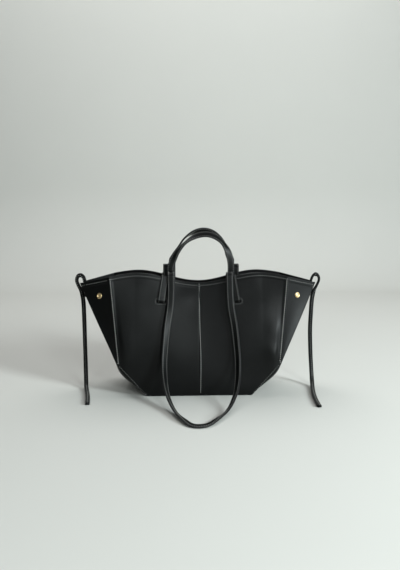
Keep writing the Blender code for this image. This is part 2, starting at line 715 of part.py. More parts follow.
def short_arch(way, y_rim, hinge_z):
    """A short handle's route from its right hinge over the crest to its left one.

    The straps twist edge-on at their shoulders.
    """
    if way < 0:
        crest_y, crest_z, sway_low, sway_high = FRONT_CREST_Y, FRONT_CREST_Z, FRONT_SWAY_LOW, FRONT_SWAY_HIGH
        left_twist = FRONT_LEFT_TWIST
        shoulders = [
            (0.955, 0.22, 0.27, 0.05, -1, 0.05),
            (0.835, 0.50, 0.52, 0.35, -0.9, 0.25),
            (0.610, 0.78, 0.77, 0.6, -0.6, 0.6),
            (0.320, 0.95, 0.940, 0.12, -0.8, 0.75),
        ]
    else:
        crest_y, crest_z, sway_low, sway_high = BACK_CREST_Y, BACK_CREST_Z, BACK_SWAY_LOW, BACK_SWAY_HIGH
        left_twist = 1
        shoulders = [
            (0.905, 0.22, 0.25, 0.3, -1, 0.1),
            (0.795, 0.50, 0.50, 1, -0.25, 0.45),
            (0.620, 0.78, 0.76, 1, -0.1, 0.9),
            (0.330, 0.95, 0.940, 0.35, -0.6, 0.95),
        ]
    # Shares of the leg's distance from the middle, of the lean and of the rise.
    straight = hinge_z + 0.006
    right = [(SHORT_LEG_X, y_rim, hinge_z, 0, -1, 0), (SHORT_LEG_X, y_rim, straight, 0, -1, 0)]
    for x, lean, rise, *normal in shoulders:
        depth = y_rim + lean * (-crest_y - y_rim)
        right.append((x * SHORT_LEG_X, depth, hinge_z + rise * (crest_z - hinge_z), *normal))
    left = [(-x, y, z, -nx * left_twist, ny, nz) for x, y, z, nx, ny, nz in right[::-1]]
    route = np.array([*right, (0, -crest_y, crest_z, 0, -1, 0.8), *left]) * np.array([1, -way, 1, 1, -way, 1])
    height = np.clip((route[:, 2] - straight) / (crest_z - straight), 0, 1)
    route[:, 0] += sway_low + (sway_high - sway_low) * height
    return route


def build_short_handles(looks, parts):
    """Short handles: an arch on two legs that leave the mouth behind the long handle's ends."""
    rim_z = float(rim_curve(SHORT_LEG_X)[1])
    low = rim_z - SHORT_FOOT_DROP
    for name, way, long_x, rise, shift, sway in (
        ("front", -1, FRONT_LONG_X, FRONT_LONG_RISE, 0, FRONT_SWAY_LOW),
        ("back", 1, BACK_LONG_X, BACK_LONG_RISE, BACK_LEG_SHIFT, BACK_SWAY_LOW),
    ):
        behind = GAP + STRAP_THICKNESS + 2 * SEAM_GAP - shift
        y_low = inside_depth(SHORT_LEG_X, low, behind)
        y_rim = inside_depth(SHORT_LEG_X, rim_z - 0.002, behind)
        hinge_z = float(rim_curve(long_x)[1]) + rise + SHORT_HINGE_RISE
        stub_top = hinge_z - STRAP_THICKNESS / 2 - TURN_GAP
        foot = [
            (SHORT_LEG_X + 0.0008, y_low, low, 0, -1, 0),
            (SHORT_LEG_X + 0.0004, (y_low + y_rim) / 2, (low + rim_z) / 2, 0, -1, 0),
            (SHORT_LEG_X, y_rim, rim_z, 0, -1, 0),
            (SHORT_LEG_X, y_rim, stub_top, 0, -1, 0),
        ]
        mesh = strap_mesh(name + "_short_handle", short_arch(way, y_rim, hinge_z), 45, True, True)
        add_piece(name + "_short_handle", mesh, looks["leather"], parts, (0, -way * y_rim, hinge_z))
        for side_name, side in (("right", 1), ("left", -1)):
            label = f"{name}_{side_name}_short_end"
            stub = np.array(foot) * np.array([side, -way, 1, side, -way, 1])
            stub[:, 0] += sway
            add_piece(label, strap_mesh(label, stub, 8), looks["leather"], parts)


def build_ties(looks, parts):
    """Leather tab sewn into each wing tip, and the free tie that comes out of it."""
    inner = TIP_X - GUSSET_TUCK
    tab_top = TIP_Z - GUSSET_DIP - TAB_DROP
    for name, side in (("right", 1), ("left", -1)):
        tab = bmesh.new()
        bmesh.ops.create_cube(tab, size=1)
        mesh = bpy.data.meshes.new(name + "_tie_tab")
        tab.to_mesh(mesh)
        tab.free()
        size = Matrix.Diagonal((TAB_LENGTH, TAB_THICKNESS, TAB_HEIGHT, 1))
        place = (side * (inner + TAB_LENGTH / 2), 0, tab_top - TAB_HEIGHT / 2)
        mesh.transform(Matrix.Translation(place) @ size)
        piece = add_piece(name + "_tie_tab", mesh, looks["leather"], parts, place)
        rounding = piece.modifiers.new("rounding", "BEVEL")
        rounding.width = 0.0008
        rounding.segments = 2
    top = tab_top + GAP
    ground = TIE_RADIUS + GAP
    left = [
        (-TIE_X, 0, top),
        (-TIE_X, 0, top + 0.0060),
        (-0.2218, 0, 0.2075),
        (-0.2228, 0, 0.2140),
        (-0.2250, 0.0005, 0.2192),
        (-0.2296, 0.0005, 0.2222),
        (-0.2352, 0.0005, 0.2200),
        (-0.2376, 0.0005, 0.2115),
        (-0.2340, 0.001, 0.2010),
        (-0.2290, 0.001, 0.1900),
        (-0.2258, 0.001, 0.1700),
        (-0.2248, 0, 0.1350),
        (-0.2244, 0, 0.0900),
        (-0.2240, -0.001, 0.0500),
        (-0.2232, -0.005, 0.0245),
        (-0.2212, -0.017, 0.0080),
        (-0.2174, -0.036, 0.0035),
        (-0.2122, -0.060, ground),
        (-0.2072, -0.088, ground),
        (-0.2030, -0.118, ground),
    ]
    right = [
        (TIE_X, 0, top),
        (TIE_X, 0, top + 0.0060),
        (0.2230, 0, 0.2075),
        (0.2248, 0, 0.2140),
        (0.2276, 0.0005, 0.2196),
        (0.2322, 0.0005, 0.2226),
        (0.2376, 0.0005, 0.2202),
        (0.2398, 0.0005, 0.2120),
        (0.2360, 0.001, 0.2010),
        (0.2302, 0.001, 0.1895),
        (0.2268, 0.001, 0.1730),
        (0.2250, 0, 0.1450),
        (0.2242, 0, 0.1100),
        (0.2258, -0.001, 0.0650),
        (0.2276, -0.005, 0.0280),
        (0.2266, -0.017, 0.0088),
        (0.2232, -0.036, 0.0035),
        (0.2180, -0.064, ground),
        (0.2138, -0.092, ground),
        (0.2108, -0.122, ground),
        (0.2096, -0.146, ground),
    ]
    for name, route in (("left_tie", left), ("right_tie", right)):
        curve = bpy.data.curves.new(name, "CURVE")
        curve.dimensions = "3D"
        curve.bevel_depth = TIE_RADIUS
        curve.bevel_resolution = 2
        curve.use_fill_caps = True
        points = smooth_route(route, 44)
        line = curve.splines.new("POLY")
        line.points.add(len(points) - 1)
        for point, place in zip(line.points, points):
            point.co = (*place, 1)
        curve.materials.append(looks["leather"])
        parts.objects.link(bpy.data.objects.new(name, curve))


def main():
    clear_scene()
    parts = new_collection("tote_bag")
    cutters = new_collection("cutters")
    cutters.hide_render = True
    looks = {
        "leather": material("black_leather", (0.012, 0.013, 0.013), 0.42),
        "lining": material("inner_leather", (0.016, 0.016, 0.017), 0.75),
        "brass": material("pale_brass", (0.78, 0.58, 0.30), 0.25, 1.0),
    }
    build_panels(looks, parts, cutters)
    build_facings(looks, parts)
    build_sides(looks, parts)
    build_base(looks, parts)
    build_loops(looks, parts)
    build_long_handles(looks, parts)
    build_short_handles(looks, parts)
    build_ties(looks, parts)


main()
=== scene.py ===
"""Looks of the winged leather tote bag: smooth black leather, pale stitching, brass studs.

The bag stands on its base with its front towards -Y. Its shell, straps and ties are worked
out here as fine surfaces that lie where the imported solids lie, and stand for them.
"""

import math

import bpy
import numpy as np
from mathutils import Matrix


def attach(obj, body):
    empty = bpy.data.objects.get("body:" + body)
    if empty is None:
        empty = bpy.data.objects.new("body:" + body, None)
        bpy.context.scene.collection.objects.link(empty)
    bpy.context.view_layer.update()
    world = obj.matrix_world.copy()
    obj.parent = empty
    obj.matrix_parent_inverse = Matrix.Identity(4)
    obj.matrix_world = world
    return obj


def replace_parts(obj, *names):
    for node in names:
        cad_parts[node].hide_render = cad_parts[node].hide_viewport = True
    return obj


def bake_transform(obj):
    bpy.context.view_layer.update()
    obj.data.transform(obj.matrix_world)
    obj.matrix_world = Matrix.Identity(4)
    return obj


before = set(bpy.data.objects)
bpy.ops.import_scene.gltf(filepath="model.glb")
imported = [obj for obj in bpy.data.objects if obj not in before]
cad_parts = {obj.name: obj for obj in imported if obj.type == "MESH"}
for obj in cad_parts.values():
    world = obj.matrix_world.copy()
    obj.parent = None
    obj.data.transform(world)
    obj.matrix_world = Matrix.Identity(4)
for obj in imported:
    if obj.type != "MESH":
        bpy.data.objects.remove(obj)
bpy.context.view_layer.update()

# Outer face of the shell. BASE is a corner of the base, FOLD the lower end of the side
# seam, SEAM its upper end, TIP the wing's point, PEAK the rim's highest place.
BASE_HALF_WIDTH = 0.098
BASE_HALF_DEPTH = 0.072
BASE_END_BOW = 0.010
FOLD_X, FOLD_Z = 0.1535, 0.060
SEAM_X, SEAM_Y, SEAM_Z = 0.170, 0.044, 0.222
TIP_X, TIP_Y, TIP_Z = 0.228, 0.016, 0.208
PEAK_X, PEAK_Y, PEAK_Z = 0.120, 0.035, 0.229
MIDDLE_Y, MIDDLE_Z = 0.022, 0.209
FACE_BULGE = 0.012
BULGE_FADE = 0.7
CORNER_SHARE = BASE_HALF_WIDTH / (BASE_HALF_WIDTH + math.hypot(FOLD_X - BASE_HALF_WIDTH, FOLD_Z))
SIDE_BULGE, SIDE_BELLY, SIDE_FULLNESS = 0.0075, 0.0175, 0.65
WING_BULGE = 0.003
WING_FOOT_SHARE = 0.04
GUSSET_TUCK = 0.020
GUSSET_DIP = 0.012
LEATHER = 0.002
EDGE_STEPS = 5
GAP, LAY_GAP, SEAM_GAP = 0.0003, 0.0006, 0.0002

# Turned-over band along the rim, lap over the side seam, the base's rounded edge, and the
# leather's slack. A FADE is the breadth over which a rise levels out.
BAND, BAND_RISE, BAND_FADE = 0.0080, 0.0005, 0.0012
LAP, LAP_RISE, LAP_FADE, LAP_FOOT_FADE = 0.0042, 0.0009, 0.003, 0.012
BASE_ROUND = 0.0035
SLACK_FADE = 0.016

# Swellings of the worn leather: rise, middle in x and z, breadth in x and z, and the strength:
# a steady share, one that goes by the side (1 or -1), and one that goes by the quarter.
SWELLINGS = (
    (0.0042, 0.136, 0.092, 0.026, 0.045, 1, 0, 0),
    (0.0020, 0.128, 0.165, 0.026, 0.040, 0, 0, 1),
    (-0.0022, 0.098, 0.194, 0.028, 0.022, 0, 0, 1),
    (-0.0022, 0.085, 0.040, 0.045, 0.028, 0, 0, 1),
    (0.0022, 0.024, 0.186, 0.022, 0.020, 0.65, -0.55, 0),
    (0.0026, 0.141, 0.078, 0.014, 0.016, 0.60, 0.40, 0),
    (0.0016, 0.145, 0.125, 0.016, 0.020, 0.50, 0.50, 0),
)

# Straps, loops, slots, studs and ties. BELOW_RIM is where a strap's depth at the rim is taken,
# STATIONS are the sections of a strap, loop or tie along its path.
STRAP_WIDTH, STRAP_THICKNESS = 0.0128, 0.003
LONG_STATIONS, SHORT_STATIONS, LOOP_STATIONS, TIE_STATIONS = 420, 190, 150, 260
LOOP_WIDTH, LOOP_THICKNESS = 0.0135, 0.0022
LOOP_RISE, LOOP_CLEARANCE = 0.0025, 0.0004
BELOW_RIM = 0.002
LOOP_SLOT_X, LOOP_RIM_X = 0.0715, 0.0650
SLOT_DROP, SLOT_LENGTH, SLOT_HEIGHT = 0.0455, 0.019, 0.0075
PATCH_MARGIN, PATCH_THICKNESS = 0.005, 0.001
FACING_WIDTH, FACING_THICKNESS, FACING_END, FACING_GAP = 0.011, 0.001, 0.004, 0.0001
BASE_MARGIN, BOARD_MARGIN, BOARD_THICKNESS = 0.0012, 0.008, 0.0018
FRONT_LONG_X, FRONT_LONG_RISE, FRONT_LONG_CLEARANCE, FRONT_LONG_SWAY = 0.0560, 0.0102, GAP, 0.0030
BACK_LONG_X, BACK_LONG_RISE, BACK_LONG_CLEARANCE, BACK_LONG_SWAY = 0.0694, 0.0190, 0.0024, 0.0063
LONG_WIDEST_X, LONG_END_Y, LONG_SWAY_END = 0.0700, 0.2355, -0.0062
LONG_FOOT_DROP, FALL_TOP = 0.024, 0.218
SHORT_LEG_X, SHORT_HINGE_RISE, SHORT_FOOT_DROP = 0.0585, 0.0043, 0.022
FRONT_CREST_Y, FRONT_CREST_Z = 0.0100, 0.3020
FRONT_SWAY_LOW, FRONT_SWAY_HIGH, FRONT_LEFT_TWIST = 0.0044, 0.0130, 3.2
BACK_CREST_Y, BACK_CREST_Z = 0.0070, 0.3093
BACK_SWAY_LOW, BACK_SWAY_HIGH = 0.0072, 0.0105
BACK_LEG_SHIFT = 0.0007
LONG_BEND, SHORT_BEND = 0.0042, 0.0045
HOOK_REACH, SHORT_STRAIGHT = 0.006, 0.006
STUD_X, STUD_Z = 0.1888, 0.1865
TAB_LENGTH, TAB_HEIGHT, TAB_THICKNESS, TAB_DROP = 0.0155, 0.015, 0.0050, 0.0015
TIE_X, TIE_RADIUS = 0.2205, 0.0025
TIE_WIDTH, TIE_THICKNESS = 0.0084, 0.0046

# Stitching. The rows' insets are from the rim, the side seam, the fold and the slot's edge.
PITCH = 0.0040
STITCH_LENGTH = 0.0019
THREAD = 0.0009
STITCH_INSET = 0.0019
RIM_ROW, SEAM_ROW, FOLD_ROW, SLOT_ROW = 0.0048, 0.0021, 0.0014, 0.0020
MIDDLE_ROW_GAP = (0.181, 0.194)

# Dark and light tones of the leather and of the threads.
BLACK = ((0.0012, 0.0014, 0.0014), (0.0032, 0.0038, 0.0038))
PALE_THREAD = ((0.62, 0.62, 0.59), (0.92, 0.92, 0.88))
GREY_THREAD = ((0.15, 0.15, 0.145), (0.38, 0.38, 0.36))

QUARTERS = (
    ("front_right", 1, -1),
    ("front_left", -1, -1),
    ("back_right", 1, 1),
    ("back_left", -1, 1),
)


def unit(vectors):
    """Each vector divided by its length."""
    return vectors / np.linalg.norm(vectors, axis=-1, keepdims=True)


def ease(t):
    """0 below 0, 1 above 1, smooth between."""
    t = np.clip(t, 0, 1)
    return t * t * (3 - 2 * t)


def steps(*spans):
    """Numbers in even steps over spans of (from, to, count), each joined on to the last."""
    runs = [np.linspace(*span) for span in spans]
    return np.concatenate([runs[0], *[run[1:] for run in runs[1:]]])


def circle(count):
    """Cos and sin of evenly spaced angles once round."""
    turns = np.linspace(0, 2 * np.pi, count, endpoint=False)
    return np.cos(turns), np.sin(turns)


def run_along(path):
    """Distance run along a path at each of its points."""
    return np.concatenate([[0], np.cumsum(np.linalg.norm(np.diff(path, axis=0), axis=1))])


def read_at(values, run, at):
    """The rows of values that a path has at the distances run, read off at other distances."""
    return np.stack([np.interp(at, run, column) for column in values.T], axis=1)


def quarter_turn(points, side, way):
    """Turns points or directions of the front right quarter over to another."""
    return points * np.array([side, -way, 1.0])


# Shapes of the shell. Each is worked out for the front right quarter.


def rim_curve(x):
    """Depth and height of the front rim: a soft wave from the middle to the peak, then down."""
    wave = (1 - np.cos(np.pi * np.minimum(x / PEAK_X, 1))) / 2
    past = np.maximum((x - PEAK_X) / (SEAM_X - PEAK_X), 0)
    y = -(MIDDLE_Y + (PEAK_Y - MIDDLE_Y) * wave + (SEAM_Y - PEAK_Y) * past**1.3)
    z = MIDDLE_Z + (PEAK_Z - MIDDLE_Z) * wave - (PEAK_Z - SEAM_Z) * past**1.6
    return y, z


def seam_x(z):
    """Distance of the side seam from the middle at height z."""
    return FOLD_X + (SEAM_X - FOLD_X) * np.clip((z - FOLD_Z) / (SEAM_Z - FOLD_Z), 0, 1)


def slack(x, z, height, side, way):
    """How far a quarter's worn leather bellies out (or falls in, below 0).

    It is a sum of soft round swellings, each a bell curve in x and z, and of a shallow wave. It
    fades out at the base, the rim and the side seam.
    """
    own = 1 + 0.25 * math.sin(2.1 * side + 1.3 * way)
    rest = 0.0006 * np.sin(40 * x + 23 * z + 1.7 * side + way) * (1 - (x / SEAM_X) ** 2)
    for rise, at_x, at_z, wide, high, steady, by_side, by_own in SWELLINGS:
        strength = rise * (steady + by_side * side + by_own * own)
        bell = np.exp(-(((x - at_x) / wide) ** 2) - ((z - at_z) / high) ** 2)
        rest = rest + strength * bell
    return rest * np.sin(np.pi * height) ** 0.5 * ease((seam_x(z) - x) / SLACK_FADE)


def face_depth(x, z, side=0, way=-1):
    """Y of the face's outer side: it leans from the base in to the rim, with a bulge.

    With a side it also has that quarter's slack, the rim's band, the lap and the base's round.
    """
    rim_y, rim_z = rim_curve(x)
    height = np.clip(z / rim_z, 0, 1)
    bulge = FACE_BULGE * np.sin(np.pi * height**0.7) * (1 - BULGE_FADE * (x / SEAM_X) ** 3)
    y = -BASE_HALF_DEPTH + height * (rim_y + BASE_HALF_DEPTH) - bulge
    if side == 0:
        return y
    band = BAND_RISE * (1 - ease((rim_z - z - BAND) / BAND_FADE))
    lap = LAP_RISE * ease(1 - (seam_x(z) - x - LAP) / LAP_FADE)
    lap = lap * ease((z - FOLD_Z) / LAP_FOOT_FADE)
    curl = np.clip(1 - z / BASE_ROUND, 0, 1)
    round_off = BASE_ROUND * (1 - np.sqrt(1 - curl**2)) * 0.7
    return y - slack(x, z, height, side, way) - np.maximum(band, lap) + round_off


def face_surface(u, v, side=0, way=-1):
    """Face: u from the middle to the side seam, v from the base's edge to the rim.

    x and z run in straight lines from the base's edge, which turns up to the fold, to the rim.
    """
    low = np.clip((u - CORNER_SHARE) / (1 - CORNER_SHARE), 0, 1)
    bottom_x = np.minimum(u / CORNER_SHARE, 1) * BASE_HALF_WIDTH + low * (FOLD_X - BASE_HALF_WIDTH)
    bottom_z = low * FOLD_Z
    x = bottom_x + v * (u * SEAM_X - bottom_x)
    z = bottom_z + v * (rim_curve(u * SEAM_X)[1] - bottom_z)
    return np.stack([x, face_depth(x, z, side, way), z], axis=-1)


def face_frame(x, z, side=0, way=-1):
    """Points of the face at distances x and heights z, and its outward normals there."""
    step = 1e-4
    x, z = np.broadcast_arrays(np.asarray(x, float), np.asarray(z, float))
    y = face_depth(x, z, side, way)
    along_x = (face_depth(x + step, z, side, way) - face_depth(x - step, z, side, way)) / (2 * step)
    along_z = (y - face_depth(x, z - step, side, way)) / step
    normal = unit(np.stack([along_x, -np.ones_like(along_x), along_z], axis=-1))
    return np.stack([x, y, z], axis=-1), normal


def slot_frame():
    """Middle of the strap slot on the face, and the outward normal there."""
    return face_frame(LOOP_SLOT_X, rim_curve(LOOP_SLOT_X)[1] - SLOT_DROP)


def wing_edge(v):
    """Outer edge of the wing: a line from the fold up to the tip, bowed out a little."""
    fold_y = face_depth(FOLD_X, FOLD_Z)
    x = FOLD_X + v * (TIP_X - FOLD_X)
    y = fold_y + v * (-TIP_Y - fold_y) - WING_BULGE * np.sin(np.pi * v)
    z = FOLD_Z + v * (TIP_Z - FOLD_Z)
    return np.stack([x, y, z], axis=-1)


def wing_surface(u, v):
    """Wing: lines from the side seam (u 0) to its outer edge (u 1), with a shallow hollow.

    The hollow is a sine across and up the wing. Along the top it carries the rim's band.
    """
    seam = face_surface(np.ones_like(v), v)
    points = seam + u[..., None] * (wing_edge(v) - seam)
    top = SEAM_Z + u * (TIP_Z - SEAM_Z)
    band = BAND_RISE * (1 - ease((top - points[..., 2] - BAND) / BAND_FADE))
    hollow = 0.0012 * np.sin(np.pi * u) * np.sin(np.pi * v) ** 0.8
    points[..., 1] += hollow - band
    return points


def wing_frame(u, v):
    """Points of the wing and its outward normals."""
    step = 1e-3
    point = wing_surface(u, v)
    across = wing_surface(u + step, v) - point
    up = point - wing_surface(u, v - step)
    return point, unit(np.cross(across, up))


def side_surface(u, v):
    """Side gusset: u from the front edge (-1) to the back (1), v 0 base, 1 fold, 2 top.

    Its edges follow the base's corner and the wings. Between them it bows out low down, and
    higher up it tucks in by a growing cosine, and its top dips in the middle.
    """
    low = np.clip(v, 0, 1)
    high = np.clip(v - 1, 0, 1)
    edge = wing_edge(high)
    x = edge[..., 0] - (1 - low) * (FOLD_X - BASE_HALF_WIDTH)
    z = edge[..., 2] - (1 - low) * FOLD_Z
    outer = np.where(v < 1, face_depth(x, z), edge[..., 1])
    middle = np.cos(np.pi * u / 2) ** (1 - SIDE_FULLNESS * np.sin(np.pi * v / 2))
    bow = BASE_END_BOW + low * (SIDE_BULGE - BASE_END_BOW) + SIDE_BELLY * np.sin(np.pi * low)
    x = x - 0.0005 + (bow * (1 - high) - GUSSET_TUCK * high**2) * middle
    z = z - GUSSET_DIP * high**4 * middle
    return np.stack([x, u * (-outer - 0.55 * LEATHER), z], axis=-1)


# Mesh makers.


def closed_mesh(name, points, faces):
    """A mesh with its faces outwards: they are turned round if their volume is below 0."""
    flat = np.asarray(points, float).reshape(-1, 3)
    mesh = bpy.data.meshes.new(name)
    mesh.from_pydata(flat.tolist(), [], faces)
    mesh.calc_loop_triangles()
    corners = np.empty(len(mesh.loop_triangles) * 3, np.int32)
    mesh.loop_triangles.foreach_get("vertices", corners)
    a, b, c = (flat[corners[k::3]] for k in range(3))
    if (a * np.cross(b, c)).sum() < 0:
        mesh.flip_normals()
    mesh.shade_smooth()
    return mesh


def add(mesh, *looks):
    """Puts a finished mesh into the scene with its materials."""
    piece = bpy.data.objects.new(mesh.name, mesh)
    for look in looks:
        mesh.materials.append(look)
    bpy.context.scene.collection.objects.link(piece)
    return piece


def on_bag(piece, slot, *nodes):
    """The piece rides on the bag's body and stands for nodes. Its slot is not used."""
    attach(piece, "bag_body")
    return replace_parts(piece, *nodes) if nodes else piece


def bands(here, follow):
    """Four-cornered faces between closed rings of points and the rings that follow them."""
    corners = [here, follow, np.roll(follow, -1, 1), np.roll(here, -1, 1)]
    return np.stack(corners, -1).reshape(-1, 4)


def tube_faces(index):
    """Faces of a tube: bands between its rings of points, and a flat cap at each end."""
    caps = [index[0].tolist(), index[-1][::-1].tolist()]
    return bands(index[:-1], index[1:]).tolist() + caps


def leather_sheet(name, outer, thickness, outward):
    """Closed leather sheet with rounded edges under the grid of points outer.

    The grid is copied inwards along its normals by the thickness. Round the border, both are
    joined by half circles: half the thickness times cos and sin of an angle from 0 to 180
    degrees, along the normal and along the direction that leaves the sheet in its surface.
    """
    rows, columns, _ = outer.shape
    normals = unit(np.cross(np.gradient(outer, axis=1), np.gradient(outer, axis=0)))
    if (normals * np.array(outward, float)).sum() < 0:
        normals = -normals
    count = rows * columns
    index = np.arange(count).reshape(rows, columns)
    quads = [index[:-1, :-1], index[1:, :-1], index[1:, 1:], index[:-1, 1:]]
    quads = np.stack(quads, -1).reshape(-1, 4)
    ring = np.concatenate([index[0, :-1], index[:-1, -1], index[-1, :0:-1], index[:0:-1, 0]])
    away = np.zeros_like(outer)
    away[0] += unit(outer[0] - outer[1])
    away[-1] += unit(outer[-1] - outer[-2])
    away[:, 0] += unit(outer[:, 0] - outer[:, 1])
    away[:, -1] += unit(outer[:, -1] - outer[:, -2])
    away = unit(away.reshape(-1, 3)[ring])
    out = normals.reshape(-1, 3)[ring]
    middle = outer.reshape(-1, 3)[ring] - out * thickness / 2
    points = [outer.reshape(-1, 3), (outer - normals * thickness).reshape(-1, 3)]
    rings = [ring]
    for step in range(1, EDGE_STEPS):
        angle = math.pi * step / EDGE_STEPS
        points.append(middle + (out * math.cos(angle) + away * math.sin(angle)) * thickness / 2)
        rings.append(2 * count + (step - 1) * len(ring) + np.arange(len(ring)))
    rings.append(ring + count)
    pairs = zip(rings, rings[1:])
    strips = [np.stack([a, np.roll(a, -1), np.roll(b, -1), b], -1) for a, b in pairs]
    faces = np.concatenate([quads, quads[:, ::-1] + count, *strips])
    return closed_mesh(name, np.concatenate(points), faces.tolist())


def smooth_route(points, count, ring=False):
    """Evenly spaced points on a smooth curve through the given points, in any number of columns.

    Each stretch is the cubic through its two points whose slopes are half the step between
    their neighbours. A ring runs on from its last point to its first.
    """
    points = np.array(points, float)
    if ring:
        ends = np.vstack([points[-1:], points, points[:2]])
        spans = len(points)
    else:
        ends = np.vstack([2 * points[0] - points[1], points, 2 * points[-1] - points[-2]])
        spans = len(points) - 1
    t = np.linspace(0, spans, 40 * (spans + 1))
    k = np.minimum(t.astype(int), spans - 1)
    f = (t - k)[:, None]
    a, b, c, d = ends[k], ends[k + 1], ends[k + 2], ends[k + 3]
    curve = b + 0.5 * f * (c - a + f * (2 * a - 5 * b + 4 * c - d + f * (3 * (b - c) + d - a)))
    run = run_along(curve[:, :3])
    even = np.linspace(0, run[-1], count + ring)[:count]
    return read_at(curve, run, even)


def strap_profile(width, thickness):
    """Strap section as (across, out) pairs once round, and which of its sides are cut edge.

    The faces are slightly domed, with a shallow groove under each row of stitches, and the long
    edges are rounded off by about a third of the thickness.
    """
    dome_rise, groove_depth, groove_breadth = 0.00012, 0.00025, 0.0006
    half, high = width / 2, thickness / 2
    corner = thickness * 0.36
    flat = np.array([0.0, 0.3, 0.5, 0.62, 0.70, 0.78, 0.86, 0.94]) * (half - corner)
    groove = groove_depth * np.exp(-(((flat - (half - STITCH_INSET)) / groove_breadth) ** 2))
    dome = dome_rise * (1 - (flat / half) ** 2)
    turns = np.linspace(0, np.pi / 2, 5)
    x = np.concatenate([flat, half - corner + corner * np.sin(turns)])
    y = np.concatenate([high + dome - groove, high - corner + corner * np.cos(turns)])
    x = np.concatenate([x, x[::-1]])
    y = np.concatenate([y, -y[::-1]])
    x = np.concatenate([x, -x[::-1][1:-1]])
    y = np.concatenate([y, y[::-1][1:-1]])
    middle = (np.abs(x) + np.abs(np.roll(x, -1))) / 2
    return np.stack([x, y], 1), middle > half - corner * 0.75


def carry(name, centres, across, outward, profile, edge_sides, ring=False):
    """Carries a profile along a path: centre + across * first + outward * second.

    Sides marked as cut edge get the second material. Open ends are closed by a flat cap.
    """
    first, second = profile[None, :, :1], profile[None, :, 1:]
    grid = centres[:, None] + across[:, None] * first + outward[:, None] * second
    stations, corners, _ = grid.shape
    index = np.arange(stations * corners).reshape(stations, corners)
    if ring:
        faces = bands(index, np.roll(index, -1, 0)).tolist()
        marks = np.tile(edge_sides, stations)
    else:
        faces = tube_faces(index)
        marks = np.append(np.tile(edge_sides, stations - 1), [1, 1])
    mesh = closed_mesh(name, grid, faces)
    mesh.polygons.foreach_set("material_index", marks.astype(np.int32))
    return mesh


def path_frame(centres, facing, ring=False):
    """Directions across and out of a strap at each centre, square to the path there."""
    if ring:
        along = unit(np.roll(centres, -1, 0) - np.roll(centres, 1, 0))
    else:
        along = unit(np.gradient(centres, axis=0))
    across = unit(np.cross(along, facing))
    return across, unit(np.cross(across, along))


def turned(name, profile, place, axis):
    """A turned piece: radius and height pairs carried once round an axis through place."""
    sides = 48
    profile = np.array(profile, float)
    along = unit(np.array(axis, float))
    across = unit(np.cross((0.0, 0.0, 1.0), along))
    third = np.cross(along, across)
    cos, sin = circle(sides)
    around = cos[:, None] * across + sin[:, None] * third
    rings = profile[1:-1]
    grid = place + along * rings[:, 1][:, None, None] + around[None] * rings[:, 0][:, None, None]
    ends = place + along * profile[[0, -1], 1][:, None]
    points = np.concatenate([grid.reshape(-1, 3), ends])
    index = np.arange(grid.shape[0] * sides).reshape(-1, sides)
    here, follow = index[:-1], index[1:]
    quads = [here, np.roll(here, -1, 1), np.roll(follow, -1, 1), follow]
    quads = np.stack(quads, -1).reshape(-1, 4)
    first = np.stack([np.roll(index[0], -1), index[0], np.full(sides, index.size)], -1)
    last = np.stack([index[-1], np.roll(index[-1], -1), np.full(sides, index.size + 1)], -1)
    return closed_mesh(name, points, quads.tolist() + first.tolist() + last.tolist())


# Stitching.


def stitch_row(path, normals, skip=None):
    """Middles, directions and normals of a row of stitches along a path, evenly spaced.

    skip is a (from, to) run along the path, in metres, that stays unstitched.
    """
    run = run_along(path)
    count = max(int(round(run[-1] / PITCH)), 1)
    at = (np.arange(count) + 0.5) * run[-1] / count
    if skip:
        at = at[(at < skip[0]) | (at > skip[1])]
    reach = PITCH * 0.4
    along = unit(read_at(path, run, at + reach) - read_at(path, run, at - reach))
    normal = read_at(normals, run, at)
    normal = unit(normal - along * (normal * along).sum(1)[:, None])
    return read_at(path, run, at), along, normal


def edge_rows(path, across, outward, width, thickness, faces):
    """Rows of stitches along both edges of a strap, on its given faces: 1 outer, -1 inner."""
    inset = width / 2 - STITCH_INSET
    rows = []
    for edge in (-1, 1):
        for face in faces:
            line = path + across * edge * inset + outward * face * thickness / 2
            rows.append(stitch_row(line, outward * face))
    return rows


def stitches(name, rows, thread):
    """All the given rows of stitches as one mesh.

    A stitch is a five-sided tube over six stations. Its middle stands just proud of the
    leather, its ends dive into it and grow thin, and it leans a little across its row.
    """
    spot, along, normal = (np.concatenate([row[k] for row in rows]) for k in range(3))
    along = unit(along + 0.10 * np.cross(normal, along))
    side = np.cross(normal, along)
    station = np.linspace(-1, 1, 6)
    lift = THREAD * (0.28 - 1.05 * np.abs(station) ** 3)
    size = THREAD / 2 * (1 - 0.45 * np.abs(station) ** 3)
    sides = 5
    cos, sin = (part[None, :, None] for part in circle(sides))
    reach = (station * STITCH_LENGTH / 2)[None, :, None]
    centre = spot[:, None] + along[:, None] * reach + normal[:, None] * lift[None, :, None]
    around = cos * side[:, None] + sin * normal[:, None]
    grid = centre[:, :, None] + around[:, None] * size[None, :, None, None]
    index = np.arange(len(station) * sides).reshape(len(station), sides)
    quads = bands(index[:-1], index[1:])
    offsets = (np.arange(len(spot)) * index.size)[:, None]
    faces = (quads[None] + offsets[:, :, None]).reshape(-1, 4).tolist()
    faces += (index[0][None] + offsets).tolist() + (index[-1][::-1][None] + offsets).tolist()
    return add(closed_mesh(name, grid, faces), thread)


# Shader maths.


